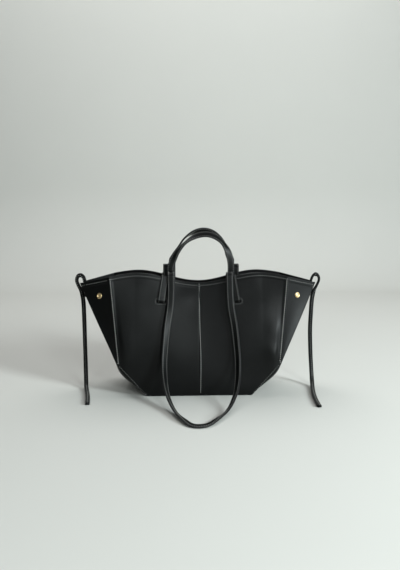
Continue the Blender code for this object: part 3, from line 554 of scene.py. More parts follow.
class Value:
    """A number or colour in a shader. Sums and products of numbers add their Math nodes."""

    def __init__(self, finish, socket):
        self.finish, self.socket = finish, socket

    def reckon(self, operation, *terms):
        return self.finish.node("ShaderNodeMath", {"operation": operation}, dict(enumerate(terms)))

    def __add__(self, other):
        return self.reckon("ADD", self, other)

    def __sub__(self, other):
        return self.reckon("SUBTRACT", self, other)

    def __rsub__(self, other):
        return self.reckon("SUBTRACT", other, self)

    def __mul__(self, other):
        return self.reckon("MULTIPLY", self, other)

    __radd__ = __add__
    __rmul__ = __mul__

    def between(self, low, high):
        """0 where the number is below low, 1 above high, smooth between."""
        settings = {"interpolation_type": "SMOOTHSTEP"}
        sockets = {0: self, 1: low, 2: high}
        return self.finish.node("ShaderNodeMapRange", settings, sockets).clamped()

    def clamped(self):
        return self.finish.node("ShaderNodeClamp", {}, {0: self})


class Finish:
    """A material on a Principled shader, with its even settings given by socket name."""

    def __init__(self, name, **even):
        self.material = bpy.data.materials.new(name)
        self.material.use_nodes = True
        self.tree = self.material.node_tree
        self.shader = self.tree.nodes["Principled BSDF"]
        for key, value in even.items():
            self.shader_socket(key).default_value = value
        self.place = self.node("ShaderNodeTexCoord", {}, {}, "Object")

    def shader_socket(self, key):
        """The shader's socket for a keyword, such as Specular IOR Level."""
        return self.shader.inputs[key.replace("_", " ").title().replace("Ior", "IOR")]

    def node(self, kind, settings, sockets, output=0):
        """A node of a type, with its settings, and the values or links of its sockets."""
        made = self.tree.nodes.new(kind)
        for key, value in settings.items():
            setattr(made, key, value)
        for key, value in sockets.items():
            if isinstance(value, Value):
                self.tree.links.new(value.socket, made.inputs[key])
            else:
                made.inputs[key].default_value = value
        return Value(self, made.outputs[output])

    def noise(self, scale, detail=3.0, rough=0.55, place=None, distortion=0.0):
        sockets = {"Vector": place or self.place, "Scale": scale, "Detail": detail}
        sockets |= {"Roughness": rough, "Distortion": distortion}
        return self.node("ShaderNodeTexNoise", {}, sockets)

    def cells(self, scale, place):
        sockets = {"Vector": place, "Scale": scale}
        return self.node("ShaderNodeTexVoronoi", {"feature": "F1"}, sockets, "Distance")

    def stretched(self, scale):
        """Object coordinates stretched, for a pattern that runs in one direction."""
        return self.node("ShaderNodeMapping", {}, {"Vector": self.place, "Scale": scale})

    def mix(self, share, first, second):
        """Colour mix from first to second by share."""
        sockets = {0: share, 6: (*first, 1), 7: (*second, 1)}
        return self.node("ShaderNodeMix", {"data_type": "RGBA"}, sockets, 2)

    def set(self, **varying):
        """Links what changes over the surface to the shader."""
        for key, value in varying.items():
            self.tree.links.new(value.socket, self.shader_socket(key))
        return self.material

    def relief(self, height, depth, strength=1.0, under=None):
        """Normal from a height field whose full range is depth metres."""
        sockets = {"Strength": strength, "Distance": depth, "Height": height}
        if under:
            sockets["Normal"] = under
        return self.node("ShaderNodeBump", {}, sockets)


def smooth_leather(name, dark, light, rough, seed):
    """Black smooth calf: faint pebble grain and pores, soft clouds of tone, and rubbed patches.

    Gloss varies with the clouds, and where the leather is rubbed it is a little smoother.
    """
    f = Finish(name, specular_ior_level=0.15)
    moved = f.node("ShaderNodeMapping", {}, {"Vector": f.place, "Location": (seed, seed * 0.7, 0)})
    clouds = f.noise(16, 4, 0.6, moved)
    rubbed = f.noise(75, 5, 0.62, moved, 0.4).between(0.52, 0.80)
    grain = f.cells(1050, moved)
    pores = f.noise(2600, 2, 0.5, moved)
    creases = f.noise(42, 6, 0.65, f.stretched((1, 1, 2.6)), 1.2)
    color = f.mix((clouds * 0.8 + rubbed * 0.35).clamped(), dark, light)
    gloss = rough + (clouds - 0.5) * 0.16 - rubbed * 0.05 + grain * 0.05
    fine = f.relief(grain * 0.8 + pores * 0.4, 0.00007, 0.55)
    folded = f.relief(creases, 0.0006, 0.22, fine)
    return f.set(base_color=color, roughness=gloss, normal=folded)


def edge_paint():
    """Painted cut edge: black, a little uneven, with fine ridges of the layers below."""
    f = Finish("painted_edge", specular_ior_level=0.30)
    uneven = f.noise(420, 4, 0.6)
    color = f.mix(uneven, (0.004, 0.004, 0.0045), (0.012, 0.012, 0.0125))
    ridges = f.relief(uneven, 0.0001, 0.6)
    return f.set(base_color=color, roughness=0.42 + uneven * 0.2, normal=ridges)


def inner_leather():
    """Dark flesh side of the leather: short brushed fibre, dull."""
    f = Finish("brushed_inner_leather", specular_ior_level=0.12)
    fibre = f.noise(900, 5, 0.7, f.stretched((1, 1, 0.35)), 0.8)
    clouds = f.noise(28, 3)
    dark, light = (0.0016, 0.0016, 0.0017), (0.0055, 0.0055, 0.0058)
    color = f.mix((fibre * 0.6 + clouds * 0.5).clamped(), dark, light)
    brushed = f.relief(fibre, 0.00025, 0.7)
    return f.set(base_color=color, roughness=0.78 + fibre * 0.15, normal=brushed)


def waxed_thread(name, dark, light):
    """Waxed thread: twisted strands with a little soiling."""
    f = Finish(name, specular_ior_level=0.2)
    soiling = f.noise(150, 3)
    strands = f.noise(2400, 2, 0.5)
    color = f.mix((soiling * 0.7 + strands * 0.4).clamped(), dark, light)
    twist = f.relief(strands, 0.0002, 0.6)
    return f.set(base_color=color, roughness=0.55 + strands * 0.25, normal=twist)


def pale_brass():
    """Polished pale brass with hairline scratches and a duller, browner film in places."""
    f = Finish("pale_brass_studs", metallic=1.0)
    film = f.noise(260, 4, 0.6)
    scratches = f.noise(1900, 4, 0.6, f.stretched((1, 0.15, 1)))
    color = f.mix(film.between(0.45, 0.75), (0.72, 0.55, 0.31), (0.46, 0.32, 0.16))
    gloss = 0.26 + film * 0.12 + scratches * 0.10
    return f.set(base_color=color, roughness=gloss, normal=f.relief(scratches, 0.00004, 0.5))


def pale_ground(name, color):
    """Plain pale matt floor with the faintest cloudiness."""
    f = Finish(name, specular_ior_level=0.2)
    clouds = f.noise(3, 2)
    lighter = tuple(min(c * 1.03, 1) for c in color)
    return f.set(base_color=f.mix(clouds, color, lighter), roughness=0.85 + clouds * 0.05)


# Pieces of the bag.


def slot_outline(centre, normal, grow, count=9):
    """Stadium round a strap slot, grown by a margin, in the plane square to the normal."""
    half = (SLOT_LENGTH - SLOT_HEIGHT) / 2
    radius = SLOT_HEIGHT / 2 + grow
    turns = np.linspace(-np.pi / 2, np.pi / 2, count)
    right = np.stack([half + np.cos(turns) * radius, np.sin(turns) * radius], 1)
    flat = np.concatenate([right, -right])
    across = unit(np.cross((0.0, 0.0, 1.0), normal))
    return centre + flat[:, :1] * across + flat[:, 1:] * np.cross(normal, across)


def cut_slot(mesh, centre, normal):
    """Cuts the slot through a finished mesh by an exact Boolean and returns the new mesh."""
    ring = slot_outline(centre, normal, 0.0)
    count = len(ring)
    index = np.arange(2 * count).reshape(2, count)
    reach = normal * 0.008
    cutter = add(closed_mesh("slot_block", [ring + reach, ring - reach], tube_faces(index)))
    piece = add(mesh)
    opening = piece.modifiers.new("slot", "BOOLEAN")
    opening.object = cutter
    opening.solver = "EXACT"
    graph = bpy.context.evaluated_depsgraph_get()
    made = bpy.data.meshes.new_from_object(piece.evaluated_get(graph))
    name = mesh.name
    for gone in (piece, cutter):
        bpy.data.objects.remove(gone, do_unlink=True)
    bpy.data.meshes.remove(mesh)
    made.name = name
    return made


def shell(looks):
    """Four faces, four wings, two gussets, the base, its board and the linings of the rim."""
    first, last = GAP / 2 / SEAM_X, 1 - SEAM_GAP / SEAM_X
    columns = steps((first, CORNER_SHARE, 36), (CORNER_SHARE, last, 44))
    rows = steps((0, 0.05, 9), (0.05, 0.94, 58), (0.94, 1, 16))
    face_v, face_u = np.meshgrid(rows, columns, indexing="ij")
    wing_rows = steps((WING_FOOT_SHARE, 0.93, 50), (0.93, 1, 14))
    wing_v, wing_u = np.meshgrid(wing_rows, np.linspace(0.002, 1, 26), indexing="ij")
    slot, slot_normal = slot_frame()
    half_x, half_z = SLOT_LENGTH / 2 + PATCH_MARGIN, SLOT_HEIGHT / 2 + PATCH_MARGIN
    patch_z, patch_x = np.meshgrid(
        np.linspace(slot[2] - half_z, slot[2] + half_z, 14),
        np.linspace(LOOP_SLOT_X - half_x, LOOP_SLOT_X + half_x, 22),
        indexing="ij",
    )
    point, out = face_frame(patch_x, patch_z)
    backing = point - out * (LEATHER + LAY_GAP)
    for quarter, side, way in QUARTERS:
        face = quarter_turn(face_surface(face_u, face_v, side, way), side, way)
        place = quarter_turn(slot, side, way)
        normal = quarter_turn(slot_normal, side, way)
        mesh = cut_slot(leather_sheet(quarter + "_face", face, LEATHER, (0, way, 0)), place, normal)
        on_bag(add(mesh, looks["leather"]), "body_leather", quarter + "_panel")
        wing = quarter_turn(wing_surface(wing_u, wing_v), side, way)
        mesh = leather_sheet(quarter + "_wing_leather", wing, LEATHER, (0, way, 0))
        on_bag(add(mesh, looks["leather"]), "body_leather", quarter + "_wing")
        patch = quarter_turn(backing, side, way)
        mesh = leather_sheet(quarter + "_slot_backing", patch, PATCH_THICKNESS, (0, way, 0))
        mesh = cut_slot(mesh, place, normal)
        on_bag(add(mesh, looks["inner"]), "lining", quarter + "_slot_patch")
    across = np.sin(np.pi / 2 * np.linspace(-1, 1, 57))
    side_v, side_u = np.meshgrid(steps((0, 1, 34), (1, 2, 76)), across, indexing="ij")
    for name, side in (("right", 1), ("left", -1)):
        points = quarter_turn(side_surface(side_u, side_v), side, -1)
        mesh = leather_sheet(name + "_gusset_leather", points, LEATHER, (side, 0, 0))
        on_bag(add(mesh, looks["leather"]), "body_leather", name + "_side_gusset")
    mesh = floor_plate("base_leather", BASE_MARGIN, 0.0, LEATHER)
    on_bag(add(mesh, looks["leather"]), "body_leather", "base_panel")
    mesh = floor_plate("base_stiffener", BOARD_MARGIN, LEATHER + GAP, BOARD_THICKNESS)
    on_bag(add(mesh, looks["inner"]), "lining", "base_board")
    end = SEAM_X - FACING_END
    drops, places = np.linspace(FACING_WIDTH, 0.0004, 8), np.linspace(-end, end, 131)
    drop, along = np.meshgrid(drops, places, indexing="ij")
    point, out = face_frame(np.abs(along), rim_curve(np.abs(along))[1] - GAP - drop)
    lining = point - out * (LEATHER + FACING_GAP)
    lining[..., 0] *= np.sign(along)
    for name, way in (("front", -1), ("back", 1)):
        band = quarter_turn(lining, 1, way)
        mesh = leather_sheet(name + "_rim_lining", band, FACING_THICKNESS, (0, way, 0))
        on_bag(add(mesh, looks["inner"]), "lining", name + "_rim_facing")


def floor_plate(name, margin, bottom, thickness):
    """Plate inside the base's outline: straight at front and back, bowed at both ends."""
    depth = BASE_HALF_DEPTH - margin
    w, u = np.meshgrid(np.linspace(-1, 1, 40), np.linspace(-1, 1, 60), indexing="ij")
    x = u * (BASE_HALF_WIDTH - margin + BASE_END_BOW * np.cos(np.pi * w / 2))
    points = np.stack([x, w * depth, np.full_like(x, bottom)], -1)
    return leather_sheet(name, points, thickness, (0, 0, -1))


def loop_ring():
    """Path of a rim loop: up the face from its slot, over the rim, and down inside."""
    outer = LAY_GAP + LOOP_THICKNESS / 2 + LOOP_CLEARANCE
    inner = LEATHER + LAY_GAP + FACING_THICKNESS + LAY_GAP + LOOP_THICKNESS / 2
    low = rim_curve(LOOP_SLOT_X)[1] - SLOT_DROP
    rim_z = rim_curve(LOOP_RIM_X)[1]
    share = np.linspace(0, 1, 6)
    x = LOOP_SLOT_X + share * (LOOP_RIM_X - LOOP_SLOT_X)
    z = low + 0.0005 + share * (rim_z - 0.0010 - low)
    point, normal = face_frame(x, z)
    outside, inside = point + normal * outer, point - normal * inner
    rim, out = face_frame(LOOP_RIM_X, rim_z)
    up = np.array([0, -out[2], -out[1]])
    middle = rim + out * (outer - inner) / 2 + up * 0.0002
    turns = np.radians([25, 55, 90, 125, 155])[:, None]
    over = middle + out * (outer + inner) / 2 * np.cos(turns) + up * LOOP_RISE * np.sin(turns)
    ring = smooth_route(np.concatenate([outside, over, inside[::-1]]), LOOP_STATIONS, ring=True)
    slant = unit(outside[-1] - outside[0])
    wall = face_frame((LOOP_SLOT_X + LOOP_RIM_X) / 2, (low + rim_z) / 2)[1]
    across = np.tile(unit(np.cross(slant, wall)), (len(ring), 1))
    along = unit(np.roll(ring, -1, 0) - np.roll(ring, 1, 0))
    return ring, across, unit(np.cross(along, across))


def loops(looks):
    """Four loops, each a closed strap with two rows of stitches. Returns the rows."""
    ring, across, outward = loop_ring()
    middle = ring.mean(axis=0)
    if ((ring - middle) * outward).sum() < 0:
        outward = -outward
    profile, cut = strap_profile(LOOP_WIDTH, LOOP_THICKNESS)
    rows = []
    for quarter, side, way in QUARTERS:
        run = [quarter_turn(part, side, way) for part in (ring, across, outward)]
        mesh = carry(quarter + "_loop", *run, profile, cut, ring=True)
        on_bag(add(mesh, looks["strap"], looks["edge"]), "strap_leather", quarter + "_rim_loop")
        rows += edge_rows(*run, LOOP_WIDTH, LOOP_THICKNESS, (1,))
    return rows


def both_legs(right, way, crown=(), left_twist=1):
    """Route of a handle: its right leg, its crown, and the leg turned over to the left.

    A row is a point and the direction that the strap's outer face looks in there.
    """
    left = [(-px, py, pz, -nx * left_twist, ny, nz) for px, py, pz, nx, ny, nz in right[::-1]]
    return np.array([*right, *crown, *left]) * np.array([1, -way, 1, 1, -way, 1])


def strap(name, kind, route, count, hinge, looks, hooked=False):
    """A handle strap with its stitches.

    A hooked strap's fixed ends hang beside its own bend, so each is a piece of its own on the
    bag, up to where the strap stands furthest in near the hinge; the others are whole.
    """
    whole, grip = f"{name}_{kind}_strap", f"{name}_{kind}_grip"
    nodes = [f"{name}_{kind}_handle", f"{name}_right_{kind}_end", f"{name}_left_{kind}_end"]
    line = smooth_route(route, count)
    centres = line[:, :3]
    across, outward = path_frame(centres, line[:, 3:])
    profile, cut = strap_profile(STRAP_WIDTH, STRAP_THICKNESS)
    runs = [(whole, 0, count, nodes)]
    if hooked:
        half = count // 2
        near = np.abs(centres[:, 1]) + np.where(centres[:, 2] > hinge[2] - HOOK_REACH, 0, 1)
        first, last = int(near[:half].argmin()), half + int(near[half:].argmin())
        runs = [
            (whole, first, last + 1, nodes[:1]),
            (whole + "_right_end", 0, first + 1, nodes[1:2]),
            (whole + "_left_end", last, count, nodes[2:]),
        ]
    for index, (piece_name, start, end, stands_for) in enumerate(runs):
        run = [part[start:end] for part in (centres, across, outward)]
        piece = add(carry(piece_name, *run, profile, cut), looks["strap"], looks["edge"])
        rows = edge_rows(*run, STRAP_WIDTH, STRAP_THICKNESS, (-1, 1))
        thread = stitches(piece_name + "_stitches", rows, looks["strap_thread"])
        for bent in (piece, thread):
            if index == 0:
                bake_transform(bent)
            else:
                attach(bent, "bag_body")
        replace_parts(piece, *stands_for)


def inside_depth(x, z, clearance):
    """Y of a strap's middle inside the front, clearance behind the rim loop's inner run."""
    point, normal = face_frame(x, z)
    behind = LEATHER + 2 * LAY_GAP + FACING_THICKNESS + LOOP_THICKNESS
    behind += clearance + STRAP_THICKNESS / 2
    return float(point[1] + behind / abs(normal[1]))


def long_straps(looks):
    """Long handles: from inside, over the rim, down the face and out over the ground in a U.

    They turn half on edge on their way down. Their sway aside grows with the cube of their
    distance from the middle. A row of the fall is a point, as shares of the widest, furthest
    and highest place, and the direction that the outer face looks in.
    """
    fall = [
        (0.895, 0.272, 0.612, -0.4, -1, 0.3),
        (0.945, 0.308, 0.466, -0.7, -1, 0.35),
        (0.975, 0.350, 0.324, -0.9, -1, 0.4),
        (0.955, 0.425, 0.187, -1, -0.85, 0.5),
        (0.865, 0.553, 0.0965, -0.95, -0.3, 0.7),
        (0.662, 0.725, 0.0330, -0.8, 0.05, 0.8),
        (0.410, 0.880, 0.0205, -0.45, 0.1, 1),
        (0.155, 0.982, 0.0110, -0.1, 0, 1),
    ]
    start = [(0.800, 0.1935, 0.868, 0, -1, 0.2), (0.825, 0.233, 0.749, -0.1, -1, 0.3)]
    front = (FRONT_LONG_X, FRONT_LONG_RISE, FRONT_LONG_CLEARANCE, FRONT_LONG_SWAY, start)
    start = [(0.940, 0.2080, 0.868, 0, -1, 0.2), (0.910, 0.240, 0.749, -0.1, -1, 0.3)]
    back = (BACK_LONG_X, BACK_LONG_RISE, BACK_LONG_CLEARANCE, BACK_LONG_SWAY, start)
    for name, way, sizes in (("front", -1, front), ("back", 1, back)):
        x, rise, clearance, sway, start = sizes
        rim_z = float(rim_curve(x)[1])
        low, crest_z = rim_z - LONG_FOOT_DROP, rim_z + rise
        y_low = inside_depth(x, low, clearance)
        y_rim = inside_depth(x, rim_z - BELOW_RIM, clearance)
        face_rim = float(face_frame(x, rim_z)[0][1])
        hinge_y = (y_rim + face_rim - LOOP_THICKNESS - STRAP_THICKNESS) / 2 - 0.001
        end_y = hinge_y + STRAP_THICKNESS / 2 + 0.0004
        right = [
            (x, y_low, low, 0, 1, 0),
            (x, (y_low + y_rim) / 2, (low + rim_z) / 2, 0, 1, 0.1),
            (x, y_rim, rim_z, 0, 1, 0.2),
            (x, (y_rim + end_y) / 2 + 0.0024, crest_z - 0.0030, 0, 0.8, 0.6),
            (x, end_y + 0.0016, crest_z, 0, 0.1, 1),
            (x, hinge_y, crest_z, 0, 0, 1),
            (x, hinge_y - 0.0066, crest_z - 0.0028, 0, -0.8, 0.6),
            (x, hinge_y - 0.0090, rim_z - 0.003, 0, -1, 0.1),
        ]
        for across, depth, height, *normal in start + fall:
            right.append((across * LONG_WIDEST_X, -depth * LONG_END_Y, height * FALL_TOP, *normal))
        route = both_legs(right, way)
        route[:, 0] += sway + (LONG_SWAY_END - sway) * (np.abs(route[:, 1]) / LONG_END_Y) ** 3
        hinge = (0, -way * hinge_y, crest_z)
        bend = (0, way * LONG_BEND, 0)
        strap(name, "long", route, LONG_STATIONS, hinge, looks, hooked=True)


def short_straps(looks):
    """Short handles: an arch on two legs that rise out of the mouth, twisted at the shoulders.

    A row of the shoulders has the shares of the leg's x, of the lean and of the rise, and the
    direction that the outer face looks in.
    """
    rim_z = float(rim_curve(SHORT_LEG_X)[1])
    low = rim_z - SHORT_FOOT_DROP
    front_shoulders = [
        (0.955, 0.22, 0.27, 0.05, -1, 0.05),
        (0.835, 0.50, 0.52, 0.35, -0.9, 0.25),
        (0.610, 0.78, 0.77, 0.6, -0.6, 0.6),
        (0.320, 0.95, 0.940, 0.12, -0.8, 0.75),
    ]
    back_shoulders = [
        (0.905, 0.22, 0.25, 0.3, -1, 0.1),
        (0.795, 0.50, 0.50, 1, -0.25, 0.45),
        (0.620, 0.78, 0.76, 1, -0.1, 0.9),
        (0.330, 0.95, 0.940, 0.35, -0.6, 0.95),
    ]
    front = (FRONT_LONG_X, FRONT_LONG_RISE, 0, FRONT_CREST_Y, FRONT_CREST_Z)
    front += (FRONT_SWAY_LOW, FRONT_SWAY_HIGH, FRONT_LEFT_TWIST, front_shoulders)
    back = (BACK_LONG_X, BACK_LONG_RISE, BACK_LEG_SHIFT, BACK_CREST_Y, BACK_CREST_Z)
    back += (BACK_SWAY_LOW, BACK_SWAY_HIGH, 1, back_shoulders)
    for name, way, sizes in (("front", -1, front), ("back", 1, back)):
        long_x, rise, shift, crest_y, crest_z, sway_low, sway_high, left_twist, shoulders = sizes
        behind = GAP + STRAP_THICKNESS + 0.001 - shift
        y_low = inside_depth(SHORT_LEG_X, low, behind)
        y_rim = inside_depth(SHORT_LEG_X, rim_z - BELOW_RIM, behind)
        hinge_z = float(rim_curve(long_x)[1]) + rise + SHORT_HINGE_RISE
        straight = hinge_z + SHORT_STRAIGHT
        right = [
            (SHORT_LEG_X + 0.0008, y_low, low, 0, -1, 0),
            (SHORT_LEG_X + 0.0004, (y_low + y_rim) / 2, (low + rim_z) / 2, 0, -1, 0),
            (SHORT_LEG_X, y_rim, rim_z, 0, -1, 0),
            (SHORT_LEG_X, y_rim, hinge_z, 0, -1, 0),
            (SHORT_LEG_X, y_rim, straight, 0, -1, 0),
        ]
        for x, lean, up, *normal in shoulders:
            depth = y_rim + lean * (-crest_y - y_rim)
            right.append((x * SHORT_LEG_X, depth, hinge_z + up * (crest_z - hinge_z), *normal))
        route = both_legs(right, way, [(0, -crest_y, crest_z, 0, -1, 0.8)], left_twist)
        height = np.clip((route[:, 2] - straight) / (crest_z - straight), 0, 1)
        route[:, 0] += sway_low + (sway_high - sway_low) * height
        hinge = (0, -way * y_rim, hinge_z)
        strap(name, "short", route, SHORT_STATIONS, hinge, looks)


def shell_rows():
    """Rows of stitches on the shell: (seams, then rims, wings, slots and the lower folds)."""
    seams, edges = [], []
    xs = np.linspace(0.003, SEAM_X - FACING_END, 160)
    zs = rim_curve(xs)[1] - RIM_ROW
    inner, normal = face_frame(xs, zs - 0.0002)
    inner = inner - normal * (LEATHER + FACING_THICKNESS + FACING_GAP)
    wing_u = np.linspace(0.06, 0.97, 50)
    wing = wing_frame(wing_u, 1 - RIM_ROW / (SEAM_Z - FOLD_Z) + 0 * wing_u)
    ring = slot_outline(*slot_frame(), SLOT_ROW, 15)
    ring = np.concatenate([ring, ring[:1]])
    down = np.linspace(0.03, 0.95, 60)
    fold_x = FOLD_X - FOLD_ROW + down * (BASE_HALF_WIDTH - FOLD_X)
    seam_z = np.linspace(FOLD_Z + 0.004, SEAM_Z - 0.002, 120)
    foot_x, foot_z = FOLD_X + np.array([-SEAM_ROW, 0.0005]), FOLD_Z + np.array([0.0036, 0.0022])
    middle_z = np.linspace(0.006, MIDDLE_Z - 0.001, 120)
    middle_x = 0.0018 + 0.0009 * np.sin(middle_z * 26)

    def sew(rows, path, normals, skip=None):
        rows.append(stitch_row(quarter_turn(path, *turn), quarter_turn(normals, *turn), skip))

    for _, *turn in QUARTERS:
        sew(edges, *face_frame(xs, zs, *turn))
        sew(edges, inner, -normal)
        sew(edges, *wing)
        sew(edges, *face_frame(ring[:, 0], ring[:, 2], *turn))
        sew(edges, *face_frame(fold_x, FOLD_Z * (1 - down), *turn))
        sew(seams, *face_frame(seam_x(seam_z) - SEAM_ROW, seam_z, *turn))
        sew(seams, *face_frame(foot_x, foot_z, *turn))
        if turn[0] > 0:
            sew(seams, *face_frame(middle_x, middle_z, *turn), MIDDLE_ROW_GAP)
    return seams, edges


def slot_rings(looks):
    """A painted bead round each slot's edge: a small circle carried round the stadium."""
    ring = slot_outline(*slot_frame(), 0.0002, 15)
    out = face_frame(ring[:, 0], ring[:, 2])[1]
    bead = np.stack(circle(8), 1) * 0.0005
    for quarter, side, way in QUARTERS:
        centres = quarter_turn(face_frame(ring[:, 0], ring[:, 2], side, way)[0], side, way)
        across, outward = path_frame(centres, quarter_turn(out, side, way), ring=True)
        uncut = np.zeros(len(bead), bool)
        mesh = carry(quarter + "_slot_bead", centres, across, outward, bead, uncut, ring=True)
        on_bag(add(mesh, looks["edge"]), "body_leather")


def studs(looks):
    """Brass caps outside the wings, with a socket (front) or stud (back) behind each."""
    u, v = 0.35, 0.85  # a first guess of the stud's place on the wing, bettered step by step
    for _ in range(40):
        found = wing_surface(np.array(u), np.array(v))
        u = u + (STUD_X - found[0]) / (TIP_X - SEAM_X)
        v = v + (STUD_Z - found[2]) / (TIP_Z - FOLD_Z)
    point, normal = wing_frame(np.array(u), np.array(v))
    cap = [
        (0, 0.0),
        (0.0050, 0.0),
        (0.0054, 0.0002),
        (0.0055, 0.0006),
        (0.0052, 0.0011),
        (0.0046, 0.0016),
        (0.0040, 0.0018),
        (0.0034, 0.0017),
        (0.0029, 0.0012),
        (0.0026, 0.0006),
        (0.0022, 0.0004),
        (0.0012, 0.0005),
        (0.0007, 0.0008),
        (0, 0.0009),
    ]
    back = -(LEATHER + GAP)
    socket = [
        (0, back - 0.0016),
        (0.0017, back - 0.0016),
        (0.0019, back - 0.0024),
        (0.0040, back - 0.0024),
        (0.0048, back - 0.0020),
        (0.0050, back - 0.0012),
        (0.0050, back),
        (0, back),
    ]
    post = [
        (0, back - 0.0036),
        (0.0013, back - 0.0036),
        (0.0018, back - 0.0033),
        (0.0019, back - 0.0029),
        (0.0016, back - 0.0024),
        (0.0016, back - 0.0018),
        (0.0046, back - 0.0016),
        (0.0050, back - 0.0012),
        (0.0050, back),
        (0, back),
    ]
    for quarter, side, way in QUARTERS:
        place, axis = quarter_turn(point, side, way), quarter_turn(normal, side, way)
        mesh = turned(quarter + "_stud", cap, place, axis)
        on_bag(add(mesh, looks["brass"]), "brass", quarter + "_stud_cap")
        kind, lower = ("_stud_socket", socket) if way < 0 else ("_stud_post", post)
        mesh = turned(quarter + "_snap", lower, place, axis)
        on_bag(add(mesh, looks["brass"]), "brass", quarter + kind)


def tie_routes():
    """Routes of both ties: up out of their tab, over in a small loop, down, on the ground."""
    top = TIP_Z - GUSSET_DIP - TAB_DROP + GAP
    ground = TIE_RADIUS + GAP
    left = [
        (-TIE_X, 0, top),
        (-TIE_X, 0, top + 0.0060),
        (-0.2218, 0, 0.2075),
        (-0.2228, 0, 0.2140),
        (-0.2250, 0.0005, 0.2192),
        (-0.2296, 0.0005, 0.2222),
        (-0.2352, 0.0005, 0.2200),
        (-0.2376, 0.0005, 0.2115),
        (-0.2340, 0.001, 0.2010),
        (-0.2290, 0.001, 0.1900),
        (-0.2258, 0.001, 0.1700),
        (-0.2248, 0, 0.1350),
        (-0.2244, 0, 0.0900),
        (-0.2240, -0.001, 0.0500),
        (-0.2232, -0.005, 0.0245),
        (-0.2212, -0.017, 0.0080),
        (-0.2174, -0.036, 0.0035),
        (-0.2122, -0.060, ground),
        (-0.2072, -0.088, ground),
        (-0.2030, -0.118, ground),
    ]
    right = [
        (TIE_X, 0, top),
        (TIE_X, 0, top + 0.0060),
        (0.2230, 0, 0.2075),
        (0.2248, 0, 0.2140),
        (0.2276, 0.0005, 0.2196),
        (0.2322, 0.0005, 0.2226),
        (0.2376, 0.0005, 0.2202),
        (0.2398, 0.0005, 0.2120),
        (0.2360, 0.001, 0.2010),
        (0.2302, 0.001, 0.1895),
        (0.2268, 0.001, 0.1730),
        (0.2250, 0, 0.1450),
        (0.2242, 0, 0.1100),
        (0.2258, -0.001, 0.0650),
        (0.2276, -0.005, 0.0280),
        (0.2266, -0.017, 0.0088),
        (0.2232, -0.036, 0.0035),
        (0.2180, -0.064, ground),
        (0.2138, -0.092, ground),
        (0.2108, -0.122, ground),
        (0.2096, -0.146, ground),
    ]
    return {"left": np.array(left), "right": np.array(right)}


def tie_profile(width, thickness):
    """Section of a folded tie: an oval squared off a little, by powers of cos and sin."""
    c, s = circle(28)
    x = np.sign(c) * np.abs(c) ** 0.7 * width / 2
    y = np.sign(s) * np.abs(s) ** 0.8 * thickness / 2
    return np.stack([x, y], 1)


def ties(looks):
    """Both ties, each a folded leather strip with one row of stitches, and their tabs.

    A strip hangs with its face forwards, turned aside in the loop, and lies flat on the ground.
    """
    for name, route in tie_routes().items():
        side = 1 if name == "right" else -1
        centres = smooth_route(route, TIE_STATIONS)
        height = centres[:, 2]
        loop_part = ease((height - 0.180) / 0.020)
        lying = ease((0.030 - height) / 0.022)
        tilt = 0.9 * loop_part + 0.25 * np.sin(height * 30 + side)
        hanging = np.stack([np.sin(tilt) * side, -np.cos(tilt), 0 * tilt], 1)
        facing = hanging * (1 - lying)[:, None] + np.array([0.0, -0.15, 1.0]) * lying[:, None]
        across, outward = path_frame(centres, facing)
        centres[:, 2] -= lying * (TIE_RADIUS - TIE_THICKNESS / 2)
        profile = tie_profile(TIE_WIDTH, TIE_THICKNESS)
        uncut = np.zeros(len(profile), bool)
        mesh = carry(name + "_tie_strip", centres, across, outward, profile, uncut)
        piece = add(mesh, looks["tie"])
        rows = [stitch_row(centres + outward * TIE_THICKNESS / 2, outward)]
        thread = stitches(name + "_tie_stitches", rows, looks["strap_thread"])
        for part in (piece, thread):
            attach(part, "bag_body")
        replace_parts(piece, name + "_tie")
        tab(name, side, looks)


def tab(name, side, looks):
    """Leather tab that holds a tie: a block with rounded ends, its section carried upwards."""
    top = TIP_Z - GUSSET_DIP - TAB_DROP
    middle = side * (TIP_X - GUSSET_TUCK + TAB_LENGTH / 2)
    heights = np.array([0, 0.0004, 0.0012, 0.0030, 0.0075, 0.0120, 0.0138, 0.0146, 0.0150])
    shrink = np.array([0.72, 0.88, 0.97, 1, 1, 1, 0.97, 0.88, 0.72])
    section = tie_profile(TAB_LENGTH, TAB_THICKNESS)
    z = top - TAB_HEIGHT + heights
    centres = np.stack([np.full_like(z, middle), np.zeros_like(z), z], 1)
    grid = centres[:, None] + shrink[:, None, None] * np.pad(section, ((0, 0), (0, 1)))
    index = np.arange(grid.shape[0] * grid.shape[1]).reshape(grid.shape[:2])
    mesh = closed_mesh(name + "_tab", grid, tube_faces(index))
    on_bag(add(mesh, looks["tie"]), "tie_leather", name + "_tie_tab")


# Surroundings.


def camera():
    """Camera at the photograph's place: almost straight in front, a little above the rim."""
    turn, pitch, yaw = math.radians(-1.93), math.radians(6.706), math.radians(0.177)
    distance, height = 1.1033, 0.3318
    focal_pixels, frame_pixels, sensor = 563.4, 570, 36
    lens = bpy.data.cameras.new("camera")
    lens.sensor_width = sensor
    lens.lens = focal_pixels / frame_pixels * sensor
    eye = bpy.data.objects.new("camera", lens)
    eye.location = (math.sin(turn) * distance, -math.cos(turn) * distance, height)
    eye.rotation_euler = (math.pi / 2 - pitch, 0, turn - yaw)
    bpy.context.scene.collection.objects.link(eye)
    bpy.context.scene.camera = eye


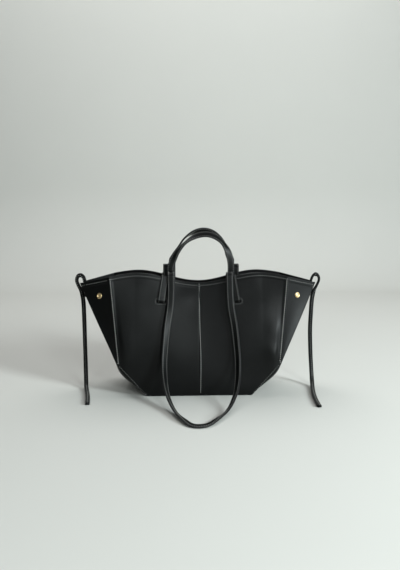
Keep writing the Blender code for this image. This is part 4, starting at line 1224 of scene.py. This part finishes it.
def ground():
    """Pale floor that sweeps up into a backdrop: a quarter circle between two flats."""
    radius, back, front, half = 0.5, 1.4, -3.0, 4.0
    turns = np.linspace(0, np.pi / 2, 16)
    bend_y = back + radius * np.sin(turns)
    bend_z = radius * (1 - np.cos(turns))
    y = np.concatenate([[front], bend_y, [back + radius]])
    z = np.concatenate([[0], bend_z, [3.5]])
    x = np.array([-half, half])
    points = np.stack([np.tile(x, len(y)), np.repeat(y, 2), np.repeat(z, 2) - 0.0002], 1)
    start = np.arange(len(y) - 1)[:, None] * 2
    mesh = bpy.data.meshes.new("floor_sweep")
    mesh.from_pydata(points.tolist(), [], (start + np.array([0, 1, 3, 2])).tolist())
    mesh.shade_smooth()
    add(mesh, pale_ground("pale_floor", (0.60, 0.60, 0.57)))


def lamp(name, place, target, size, power, color=(1, 1, 1)):
    """A rectangular soft lamp at a place, turned towards its target."""
    light = bpy.data.lights.new(name, "AREA")
    light.shape = "RECTANGLE"
    light.size, light.size_y = size
    light.energy = power
    light.color = color
    holder = bpy.data.objects.new(name, light)
    holder.location = place
    away = np.array(place, float) - np.array(target, float)
    spin = math.atan2(away[0], -away[1])
    tilt = math.atan2(math.hypot(away[0], away[1]), away[2])
    holder.rotation_euler = (tilt, 0, spin)
    bpy.context.scene.collection.objects.link(holder)


def light():
    """A dim even room, three windows in front and a broad ceiling lamp behind."""
    world = bpy.data.worlds.new("soft_room")
    bpy.context.scene.world = world
    world.use_nodes = True
    background = world.node_tree.nodes["Background"]
    background.inputs["Color"].default_value = (0.86, 0.88, 0.90, 1)
    background.inputs["Strength"].default_value = 0.04
    lamp("window_front", (0.75, -2.0, 0.85), (0, 0, 0.15), (0.35, 0.6), 15, (0.93, 1, 0.99))
    lamp("window_right", (1.8, -1.5, 0.90), (0.05, 0, 0.15), (0.5, 0.8), 72, (0.90, 0.99, 1))
    lamp("window_left", (-0.45, -2.0, 1.15), (0, 0, 0.15), (0.35, 0.6), 5, (0.93, 1, 0.99))
    lamp("ceiling", (0, 1.0, 2.3), (0, 0.4, 0), (2.6, 1.8), 38)
    bpy.context.scene.view_settings.view_transform = "Standard"


def main():
    camera()
    looks = {
        "leather": smooth_leather("smooth_black_leather", *BLACK, 0.40, 0.0),
        "strap": smooth_leather("strap_black_leather", *BLACK, 0.37, 3.0),
        "tie": smooth_leather("tie_black_leather", *BLACK, 0.44, 7.0),
        "edge": edge_paint(),
        "inner": inner_leather(),
        "thread": waxed_thread("pale_waxed_thread", *PALE_THREAD),
        "strap_thread": waxed_thread("grey_waxed_thread", *GREY_THREAD),
        "brass": pale_brass(),
    }
    ties(looks)
    shell(looks)
    slot_rings(looks)
    loop_rows = loops(looks)
    seams, edges = shell_rows()
    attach(stitches("seam_stitches", seams, looks["thread"]), "bag_body")
    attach(stitches("edge_stitches", edges + loop_rows, looks["strap_thread"]), "bag_body")
    long_straps(looks)
    short_straps(looks)
    studs(looks)
    ground()
    light()


main()
